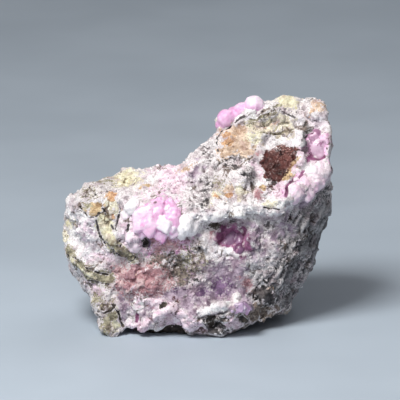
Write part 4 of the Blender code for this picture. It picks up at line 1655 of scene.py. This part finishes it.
def eased_cube(width: float, rounds: int) -> bmesh.types.BMesh:
    """A cube a unit wide with its edges eased.

    Args:
        width: The width of the easing.
        rounds: How many times its faces are divided afterwards.

    Returns:
        The shape.
    """
    shape = plain_cube()
    bmesh.ops.bevel(shape, geom=shape.edges[:], offset=width, segments=2, profile=0.6, affect="EDGES")
    for _ in range(rounds):
        bmesh.ops.subdivide_edges(shape, edges=shape.edges[:], cuts=1, use_grid_fill=True)
    shape.verts.index_update()
    return shape


def round_lump() -> bmesh.types.BMesh:
    """A ball a unit wide.

    Returns:
        The shape.
    """
    shape = bmesh.new()
    bmesh.ops.create_icosphere(shape, subdivisions=3, radius=0.5)
    shape.verts.index_update()
    return shape


def fuse(thing: bpy.types.Object, grid: float, rounds: int) -> bpy.types.Object:
    """Melts overlapping lumps into one skin with soft valleys.

    Args:
        thing: The lumps.
        grid: The size of the skin's faces, in millimetres.
        rounds: How often the skin is evened out.

    Returns:
        The same object, with the skin as its mesh.
    """
    skin = thing.modifiers.new("skin", "REMESH")
    skin.mode = "VOXEL"
    skin.voxel_size = grid * MM
    even = thing.modifiers.new("even", "SMOOTH")
    even.iterations = rounds
    even.factor = 0.5
    return baked(thing)


@dataclass
class Druse:
    """Tiny crystals or grains scattered over the block where their minerals lie.

    Each value that the block holds is passed on to them by a share of its own, so they stand clear of its
    darkened seams and keep less of its painted crease shade and ridge highlight.
    """

    DARK = (Mineral.CRACK_AND_SHADOW, Mineral.MAGENTA, Mineral.GARNET)
    PASSED_ON = {"polish": 1.0, "cavity": 0.4, "seam": 0.0, "layers": 1.0}

    name: str
    minerals: tuple[Mineral, ...]
    count: int
    smallest: float
    largest: float
    seed: int
    finish: StoneFinish
    bare_share: float = 0.0
    lean: float = 0.9
    sunk: float = 0.22
    few_large: float = 2.2
    clearing_edge: float = 1.15

    def chances(self, rock: MatrixRock, corners: np.ndarray) -> np.ndarray:
        """How likely a crystal is to sit on each face of the block.

        Args:
            rock: The block.
            corners: The four corners of each face.

        Returns:
            The chances, which come to 1 together.
        """
        mesh = rock.body.data
        areas = np.empty(len(corners))
        mesh.polygons.foreach_get("area", areas)
        wanted = rock.map.of(*self.minerals) + self.bare_share * (1.0 - rock.map.of(*Mineral))
        places = SIGHT.places(coordinates(mesh))
        for patch in CLEARINGS:
            wanted = wanted * (patch.out(places) > self.clearing_edge)
        weight = areas * (wanted * (1.0 - rock.map.of(*self.DARK)))[corners].mean(axis=1)
        return weight / weight.sum()

    def stain(self, mesh: bpy.types.Mesh, rock: MatrixRock) -> None:
        """Gives a mesh the minerals and the values of the block nearest to each vertex.

        Args:
            mesh: The mesh.
            rock: The block.
        """
        nearest = nearest_of(coordinates(rock.body.data), coordinates(mesh))
        MineralMap(rock.map.amounts[nearest]).store(mesh)
        for name, share in self.PASSED_ON.items():
            set_values(mesh, name, get_values(rock.body.data, name)[nearest] * share)

    def build(self, rock: MatrixRock) -> bpy.types.Object:
        """Scatters the crystals.

        Args:
            rock: The block that they grow on.

        Returns:
            The finished piece.
        """
        mesh = rock.body.data
        corners = np.empty(len(mesh.polygons) * 4, np.int32)
        mesh.polygons.foreach_get("vertices", corners)
        corners = corners.reshape(-1, 4)
        generator = np.random.default_rng(self.seed)
        chosen = generator.choice(len(corners), self.count, p=self.chances(rock, corners))
        shares = generator.dirichlet((1.0, 1.0, 1.0, 1.0), self.count)
        places = (coordinates(mesh)[corners[chosen]] * shares[:, :, None]).sum(axis=1)
        facing = normals(mesh)[corners[chosen]].mean(axis=1)
        bigness = generator.random(self.count) ** self.few_large
        sizes = self.smallest + (self.largest - self.smallest) * bigness
        angles = generator.uniform(-1.0, 1.0, (self.count, 4))
        tones = generator.random(self.count)
        swarm = RhombSwarm()
        for place, normal, size, angle, shade in zip(places, facing, sizes, angles, tones):
            out = Vector(normal).to_track_quat("Z", "Y").to_matrix()
            spin = Matrix.Rotation(angle[0] * math.pi, 3, "Z")
            axis = Vector((angle[2], angle[3], AXIS_RISE)).normalized()
            tip = Matrix.Rotation(angle[1] * self.lean, 3, axis)
            middle = Vector(place) - Vector(normal) * size * self.sunk * MM
            swarm.add(middle, out @ spin @ tip, size, shade)
        made = swarm.mesh(self.name, plain_cube())
        self.stain(made, rock)
        made.materials.append(self.finish.make())
        piece = new_object(self.name, made)
        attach(piece, "root")
        return piece


@dataclass(frozen=True)
class Crystal:
    """One larger crystal on the face: its place, size, spin and tilt in degrees, paleness and sunk share."""

    across: float
    up: float
    size: float
    spin: float
    tilt: float
    paleness: float
    sunk: float = 0.3


@dataclass
class Growth:
    """Crystals grown together in one bed of the face.

    Sizes are in millimetres and angles in degrees, but the lean is in radians. The easing and the sunk
    share are parts of a crystal's size. Lumps are a size and a share of the roughening.
    """

    LUMP_SHIFT = 5.0
    FINE_SHIFT = 9.0
    TOWARD_EYE = (-0.25, 0.0, 0.5)

    node: str
    across: float
    up: float
    half_width: float
    half_height: float
    turn: float
    count: int
    smallest: float
    largest: float
    seed: int
    finish: CrystalFinish
    leaders: tuple[Crystal, ...] = ()
    easing: float = 0.07
    roughening: float = 0.05
    rounds: int = 2
    lean: float = 1.0
    on_rock: bool = False
    lump_size: float = 1.6
    fine_lumps: tuple[float, float] = (0.7, 0.4)
    # How much paler the top of the bed is than its foot, as painted light and shade.
    painted_top_light: float = 0.0
    rounded: bool = False
    fused: int = 0
    grid: float = 0.34
    sharp: float = 35.0
    follow: float = 0.5
    stray: float = 0.4
    sunk: float = 0.2
    middle_size: float = 1.1
    rim_loss: float = 0.35

    def leader_places(self, rock: MatrixRock, swarm: RhombSwarm) -> None:
        """Adds the larger crystals, each where it is seen on the face.

        Args:
            rock: The block that they grow on.
            swarm: The crystals so far.
        """
        for crystal in self.leaders:
            hit, normal = SIGHT.hit(rock.tree, crystal.across, crystal.up)
            if hit is None:
                continue
            toward = (normal * self.follow - SIGHT.along() + Vector(self.TOWARD_EYE)).normalized()
            out = toward.to_track_quat("Z", "Y").to_matrix()
            tip = Matrix.Rotation(math.radians(crystal.tilt), 3, "X")
            spin = Matrix.Rotation(math.radians(crystal.spin), 3, "Z")
            middle = hit - toward * crystal.size * crystal.sunk * MM
            swarm.add(middle, out @ tip @ spin, crystal.size, crystal.paleness, on_point=False)

    def crowd_places(self, rock: MatrixRock, swarm: RhombSwarm) -> None:
        """Adds the smaller crystals, spread like the seeds in a flower head.

        Args:
            rock: The block that they grow on.
            swarm: The crystals so far.
        """
        draw = random.Random(self.seed)
        turn = math.radians(self.turn)
        for index in range(self.count):
            out = math.sqrt((index + 0.5) / self.count)
            angle = index * GOLDEN_ANGLE + draw.uniform(-self.stray, self.stray)
            aside = self.half_width * out * math.cos(angle)
            above = self.half_height * out * math.sin(angle)
            across = self.across + aside * math.cos(turn) - above * math.sin(turn)
            up = self.up + aside * math.sin(turn) + above * math.cos(turn)
            size = draw.uniform(self.smallest, self.largest) * (self.middle_size - self.rim_loss * out)
            spin = Matrix.Rotation(draw.uniform(0.0, math.tau), 3, "Z")
            axis = Vector((draw.uniform(-1, 1), draw.uniform(-1, 1), AXIS_RISE)).normalized()
            tip = Matrix.Rotation(draw.uniform(0.0, self.lean), 3, axis)
            # Each crystal's tone is random, made paler towards the top of the bed as painted light and deeper
            # towards its foot as painted shade.
            shade = draw.random() * (1.0 + self.painted_top_light * above / self.half_height) / (1.0 + self.painted_top_light)
            hit, normal = SIGHT.hit(rock.tree, across, up)
            if hit is None:
                continue
            frame = normal.to_track_quat("Z", "Y").to_matrix()
            swarm.add(hit - normal * size * self.sunk * MM, frame @ spin @ tip, size, shade)

    def fuse_all(self, piece: bpy.types.Object) -> None:
        """Melts the crystals into one skin that keeps their tones.

        Args:
            piece: The crystals.
        """
        apart = coordinates(piece.data)
        tones = get_values(piece.data, "tone")
        mesh = fuse(piece, self.grid, self.fused).data
        set_values(mesh, "tone", tones[nearest_of(apart, coordinates(mesh))])

    def build(self, rock: MatrixRock) -> bpy.types.Object:
        """Grows the crystals.

        Args:
            rock: The block that they grow on.

        Returns:
            The finished piece.
        """
        swarm = RhombSwarm()
        self.leader_places(rock, swarm)
        self.crowd_places(rock, swarm)
        pattern = round_lump() if self.rounded else eased_cube(self.easing, self.rounds)
        name = self.node.replace("crystals", "rhombs") + "_growth"
        piece = new_object(name, swarm.mesh(self.node, pattern))
        if self.fused:
            self.fuse_all(piece)
        mesh = piece.data
        spots = coordinates(mesh) / MM
        fine_size, fine_share = self.fine_lumps
        lumps = noise_at(spots, self.lump_size, self.LUMP_SHIFT)
        fine = noise_at(spots, fine_size, self.FINE_SHIFT)
        stand_out(mesh, self.roughening * (lumps + fine_share * fine))
        if not self.fused:
            mesh.set_sharp_from_angle(angle=math.radians(self.sharp))
        mesh.materials.clear()
        mesh.materials.append(self.finish.make())
        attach(piece, "root")
        if self.on_rock:
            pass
        else:
            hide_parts(self.node)
        return piece


@dataclass
class Crest:
    """The row of rounded pink growths along the crest, paler towards its high right end.

    Sizes are in millimetres. Each of the lumps is a size, a height and a shift of the noise, and the
    facets are a size and a steepness. A pair is where the paler end starts and where it is full.
    """

    knobs: tuple[Knob, ...]
    grid: float = 0.32
    evened: int = 4
    lumps: tuple[tuple[float, float, float], ...] = ((2.2, 0.28, 4.0), (0.9, 0.12, 8.0))
    facets: tuple[float, float] = (0.8, 0.22)
    pale_up: tuple[float, float] = (72.0, 80.0)
    pale_across: tuple[float, float] = (8.0, 20.0)
    least_tone: float = 0.25
    finish: CrystalFinish = CrystalFinish(
        "crest_pink", tone(226, 170, 212), tone(240, 200, 230), tone(251, 230, 245),
        roughness=0.42, subsurface=0.7, depth=1.6, grit=0.5, faces=0.22, face_size=0.4,
        coat=0.15, cloud=2.4,
    )

    def build(self) -> bpy.types.Object:
        """Makes the knobs.

        Returns:
            The finished piece.
        """
        shape = bmesh.new()
        for knob in self.knobs:
            knob.add_to(shape, divisions=4)
        knobs = fuse(object_of("crest_knobs", shape), self.grid, self.evened)
        mesh = knobs.data
        spots = coordinates(mesh) / MM
        heights = breaks_at(spots, *self.facets)[0]
        for size, height, shift in self.lumps:
            heights += height * noise_at(spots, size, shift)
        places = SIGHT.places(stand_out(mesh, heights))
        high = smooth_step(places[:, 1], *self.pale_up) * smooth_step(places[:, 0], *self.pale_across)
        set_values(mesh, "tone", self.least_tone + (1.0 - self.least_tone) * high)
        mesh.materials.clear()
        mesh.materials.append(self.finish.make())
        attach(knobs, "root")
        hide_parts("crest_crystals")
        return knobs


@dataclass(frozen=True)
class Lamp:
    """A soft square light.

    It stands at an azimuth to the right of straight in front and at a height above the table, both in
    degrees. Its distance and its side are in metres.
    """

    name: str
    azimuth: float
    elevation: float
    away: float
    side: float
    watts: float
    colour: tuple[float, float, float]

    def add(self, target: Vector) -> None:
        """Adds it to the scene.

        Args:
            target: The point that it looks at, in metres.
        """
        light = bpy.data.lights.new(self.name, "AREA")
        light.shape = "SQUARE"
        light.size = self.side
        light.energy = self.watts
        light.color = self.colour
        thing = bpy.data.objects.new(self.name, light)
        bpy.context.scene.collection.objects.link(thing)
        turn, rise = math.radians(self.azimuth), math.radians(self.elevation)
        way = Vector((math.sin(turn) * math.cos(rise), -math.cos(turn) * math.cos(rise), math.sin(rise)))
        thing.location = target + way * self.away
        thing.rotation_euler = (-way).to_track_quat("-Z", "Y").to_euler()


@dataclass
class Studio:
    """The table, the soft lights and the camera.

    The camera's aim, its sensor and the width that it sees are in millimetres, the rest in metres.
    """

    distance: float = 1.5
    frame_width: float = 132.4
    sensor: float = 36.0
    clip_end: float = 20.0
    aim: tuple[float, float, float] = (0.66, 45.3, -12.0)
    table_half: float = 3.0
    table_parts: int = 8
    lit_point: tuple[float, float, float] = (0.0, 0.0, 0.04)
    lamps: tuple[Lamp, ...] = (
        Lamp("key", -32.0, 54.0, 0.75, 0.28, 6.7, (1.0, 0.99, 0.97)),
        Lamp("front_fill", -8.0, 34.0, 1.1, 0.7, 1.2, (1.0, 0.96, 0.97)),
        Lamp("back_rim", 150.0, 50.0, 0.8, 0.4, 0.9, (0.95, 0.98, 1.0)),
    )
    room: tuple[float, float, float, float] = tone(224, 219, 220)
    room_strength: float = 0.16

    def table(self) -> None:
        """Lays the table."""
        shape = bmesh.new()
        parts = self.table_parts
        bmesh.ops.create_grid(shape, x_segments=parts, y_segments=parts, size=self.table_half)
        table = object_of("table_top", shape)
        table.data.materials.append(TableFinish().make())

    def light(self) -> None:
        """Sets up the lights and the pale room round them."""
        for lamp in self.lamps:
            lamp.add(Vector(self.lit_point))
        world = bpy.data.worlds.new("pale_room")
        world.use_nodes = True
        background = world.node_tree.nodes["Background"]
        background.inputs["Color"].default_value = self.room
        background.inputs["Strength"].default_value = self.room_strength
        bpy.context.scene.world = world
        bpy.context.scene.view_settings.view_transform = "Standard"

    def camera(self) -> None:
        """Puts a long lens at the height and turn that the specimen is seen from."""
        lens = bpy.data.cameras.new("long_lens")
        lens.sensor_width = self.sensor
        lens.lens = self.sensor * self.distance / (self.frame_width * MM)
        lens.clip_end = self.clip_end
        eye = bpy.data.objects.new("long_lens", lens)
        bpy.context.scene.collection.objects.link(eye)
        eye.location = SIGHT.point(*self.aim) - SIGHT.along() * self.distance
        eye.rotation_euler = SIGHT.along().to_track_quat("-Z", "Y").to_euler()
        bpy.context.scene.camera = eye

    def build(self) -> None:
        """Makes the table, the lights and the camera."""
        self.table()
        self.light()
        self.camera()


CREST_COLLAR = (
    Knob(8.4, 67.4, 0.4, 2.2), Knob(11.0, 69.4, 0.4, 2.3), Knob(14.0, 71.4, 0.4, 2.4),
    Knob(17.4, 72.8, 0.4, 2.4), Knob(20.8, 73.6, 0.4, 2.4), Knob(23.8, 75.0, 0.8, 2.2),
)

# Lumps behind the arch under the block, painted dark as shadow.
ARCH_SHADOW_WALL = (
    Knob(-19.0, 3.6, -14.0, 3.4), Knob(-15.0, 3.9, -16.0, 3.8), Knob(-10.5, 3.9, -16.0, 4.2),
    Knob(-5.5, 3.9, -16.0, 4.2), Knob(-1.0, 3.6, -16.0, 3.8),
)

CREST_KNOBS = (
    Knob(9.4, 72.3, 1.4, 3.2), Knob(12.2, 73.2, 2.6, 2.9), Knob(14.7, 75.0, 2.5, 2.9),
    Knob(18.6, 76.4, 2.1, 3.6), Knob(20.9, 74.8, 2.0, 2.6), Knob(8.2, 70.6, 1.8, 2.4),
    Knob(12.0, 73.8, 7.4, 2.7), Knob(18.5, 75.4, 7.9, 2.5), Knob(15.6, 73.6, 3.5, 3.0),
)

GROWTHS = (
    Growth(
        "red_druse", 26.6, 57.6, 4.3, 6.3, -22.0, 1900, 0.22, 0.46, 3,
        CrystalFinish(
            "garnet_druse", tone(60, 30, 29), tone(110, 62, 57), tone(200, 150, 140), roughness=0.4,
            subsurface=0.0, grit=0.1, faces=0.1, coat=0.25, cloud=3.4,
        ),
        # Paler towards the top of the pocket as painted light, deeper at its foot as painted shade.
        easing=0.05, roughening=0.0, rounds=0, lean=0.5, painted_top_light=0.8,
    ),
    Growth(
        "corner_pocket_crystals", 39.0, 63.5, 2.6, 4.6, 0.0, 2, 2.0, 3.0, 5,
        CrystalFinish(
            "pocket_pink", tone(164, 116, 148), tone(204, 162, 190), tone(236, 208, 228),
            transmission=0.05, depth=1.4, cloud=2.6,
        ),
        (
            Crystal(39.8, 64.2, 8.4, 20, 0, 0.8, 0.33), Crystal(40.4, 61.4, 6.8, 60, 0, 0.7, 0.33),
            Crystal(38.4, 66.8, 5.6, 10, 0, 0.35, 0.34), Crystal(37.0, 62.6, 5.4, 80, 0, 0.0, 0.36),
        ),
        roughening=0.24, lump_size=2.8, rounded=True, fused=8,
    ),
    Growth(
        "vug_crystals", 11.2, 32.2, 3.6, 2.6, -12.0, 1, 2.0, 2.8, 8,
        CrystalFinish(
            "vug_magenta", tone(102, 54, 90), tone(144, 100, 136), tone(166, 130, 162), roughness=0.4,
            transmission=0.05, subsurface=0.4, depth=1.4, grit=0.2, faces=0.05, cloud=3.2,
        ),
        (
            Crystal(10.6, 32.8, 8.8, 30, 0, 0.75), Crystal(13.4, 32.8, 7.0, 70, 0, 0.4, 0.32),
            Crystal(8.8, 31.2, 5.0, 70, 0, 0.5, 0.32), Crystal(13.4, 29.8, 4.8, 15, 0, 0.1, 0.34),
        ),
        roughening=0.24, lump_size=2.6, rounded=True, fused=8,
    ),
    Growth(
        "centre_crystals", -12.0, 39.0, 7.6, 5.6, 0.0, 8, 1.8, 3.0, 13,
        CrystalFinish(
            "centre_pink", tone(234, 170, 214), tone(243, 202, 232), tone(252, 238, 249), roughness=0.34,
            transmission=0.03, subsurface=0.75, depth=1.8, cloud=2.6, grit=0.5, faces=0.2,
        ),
        (
            Crystal(-18.2, 39.6, 7.4, 24, 12, 0.7), Crystal(-9.6, 41.2, 7.6, 50, 12, 0.45),
            Crystal(-11.0, 37.2, 4.6, 75, 14, 0.95, 0.1), Crystal(-14.2, 43.0, 6.0, 30, 10, 0.1, 0.36),
            Crystal(-13.8, 38.6, 5.0, 80, 12, 0.1), Crystal(-12.4, 34.6, 5.0, 65, 16, 0.2),
            Crystal(-7.6, 35.2, 4.0, 25, 15, 0.7), Crystal(-18.6, 35.4, 4.4, 50, 12, 0.6),
            Crystal(-14.6, 40.6, 6.0, 15, 20, 0.3, 0.34), Crystal(-8.4, 38.4, 5.4, 40, 24, 0.5, 0.34),
            Crystal(-16.4, 37.0, 5.6, 60, 10, 0.6, 0.36),
        ),
        easing=0.18, roughening=0.35, lump_size=2.6, fused=3,
    ),
    Growth(
        "rose_crust", -20.0, 18.5, 8.4, 5.2, -16.0, 22, 1.2, 3.0, 21,
        CrystalFinish(
            "rose_crust", tone(146, 104, 112), tone(180, 140, 146), tone(210, 182, 182), roughness=0.4,
            grit=1.0, faces=0.5, cloud=1.2,
        ),
        easing=0.28, roughening=0.6, lump_size=1.1, fused=2,
    ),
    Growth(
        "ledge_crystals", 14.3, 9.6, 3.6, 1.8, 8.0, 6, 1.2, 2.2, 34,
        CrystalFinish("ledge_lilac", tone(136, 100, 142), tone(180, 150, 186), tone(214, 194, 218)),
        (Crystal(13.4, 10.0, 3.4, 20, 20, 0.6), Crystal(15.8, 9.8, 3.2, 60, 25, 0.55)),
        easing=0.28, roughening=0.25,
    ),
    Growth(
        "milky_crystals", 34.0, 52.0, 3.0, 2.0, 30.0, 3, 2.0, 3.0, 55,
        CrystalFinish(
            "milky_blush", tone(234, 200, 220), tone(248, 226, 238), tone(255, 248, 252), roughness=0.4,
            subsurface=0.4, coat=0.1, depth=1.8, grit=0.8, faces=0.3, cloud=2.0,
            spread=(1.0, 1.0, 1.0),
        ),
        (
            Crystal(-21.8, 43.8, 6.0, 12, 0, 0.9, 0.26), Crystal(-24.0, 40.6, 4.0, 40, 0, 0.7),
            Crystal(-20.8, 30.4, 5.0, 25, 0, 0.6, 0.2), Crystal(-22.8, 33.2, 3.6, 50, 0, 0.6, 0.24),
            Crystal(31.6, 47.8, 6.8, 15, 0, 0.5, 0.38), Crystal(34.6, 51.2, 7.0, 45, 0, 0.2, 0.4),
            Crystal(37.4, 54.6, 8.0, 20, 0, 0.7, 0.38), Crystal(40.0, 55.6, 6.4, 70, 0, 0.6, 0.38),
            Crystal(38.8, 52.0, 7.0, 33, 0, 0.3, 0.42), Crystal(36.0, 48.4, 6.0, 60, 0, 0.0, 0.42),
            Crystal(-4.6, 36.8, 7.0, 35, 0, 1.0, 0.1), Crystal(-2.6, 36.0, 5.6, 10, 0, 1.0, 0.12),
            Crystal(-5.6, 35.2, 5.6, 60, 0, 1.0, 0.14),
            Crystal(8.4, 28.0, 4.2, 20, 30, 0.95, 0.44), Crystal(5.6, 27.4, 3.0, 70, 30, 1.0, 0.44),
            Crystal(-12.8, 48.6, 4.6, 10, 30, 0.7, 0.5), Crystal(-7.6, 50.8, 5.0, 50, 20, 0.6, 0.5),
            Crystal(-16.0, 46.8, 4.0, 80, 20, 0.8, 0.5),
            Crystal(-8.0, 7.6, 4.8, 25, 20, 0.7, 0.5), Crystal(-4.4, 5.4, 4.0, 65, 25, 0.6, 0.5),
        ),
        roughening=0.62, on_rock=True, lump_size=2.2, rounded=True, fused=5,
    ),
)

DRUSES = (
    Druse(
        "white_druse", (Mineral.WHITE, Mineral.ICE, Mineral.CREAM), 2600, 0.3, 1.1, 41,
        StoneFinish("milky_druse", dirt_and_shade=0.5, flecks=0.4, grit=0.3, faces=0.15, dull=0.5, glossy=0.25),
        bare_share=0.6,
    ),
    Druse(
        "blush_druse", (Mineral.BLUSH, Mineral.PINK, Mineral.LILAC, Mineral.ROSE), 2400, 0.3, 1.0, 42,
        StoneFinish("blush_druse", dirt_and_shade=0.5, flecks=0.3, grit=0.3, faces=0.15, dull=0.5, glossy=0.25),
    ),
    Druse(
        "grit_grains", (Mineral.GREY, Mineral.TAN, Mineral.OLIVE, Mineral.PEACH, Mineral.OCHRE),
        2400, 0.3, 0.9, 43,
        StoneFinish("grit_grains", dirt_and_shade=0.8, flecks=0.8, grit=0.8, faces=0.4),
    ),
)


def report(piece: bpy.types.Object) -> None:
    """Says that a piece is made, and how fine it is."""
    LOG.info("%s: %d vertices", piece.name, len(piece.data.vertices))


def main() -> None:
    """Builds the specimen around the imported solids, piece by piece."""
    logging.basicConfig(level=logging.INFO, format="%(message)s")
    noise.seed_set(NOISE_SEED)
    Studio().build()
    for group in (MineralColour(), GrittyNormal()):
        LOG.info("node group %s", group.build().name)
    rock = MatrixRock(CREST_COLLAR, ARCH_SHADOW_WALL)
    report(rock.build(frame["nodes"]))
    for druse in DRUSES:
        report(druse.build(rock))
    for growth in GROWTHS:
        report(growth.build(rock))
    report(Crest(CREST_KNOBS).build())


if __name__ == "__main__":
    main()
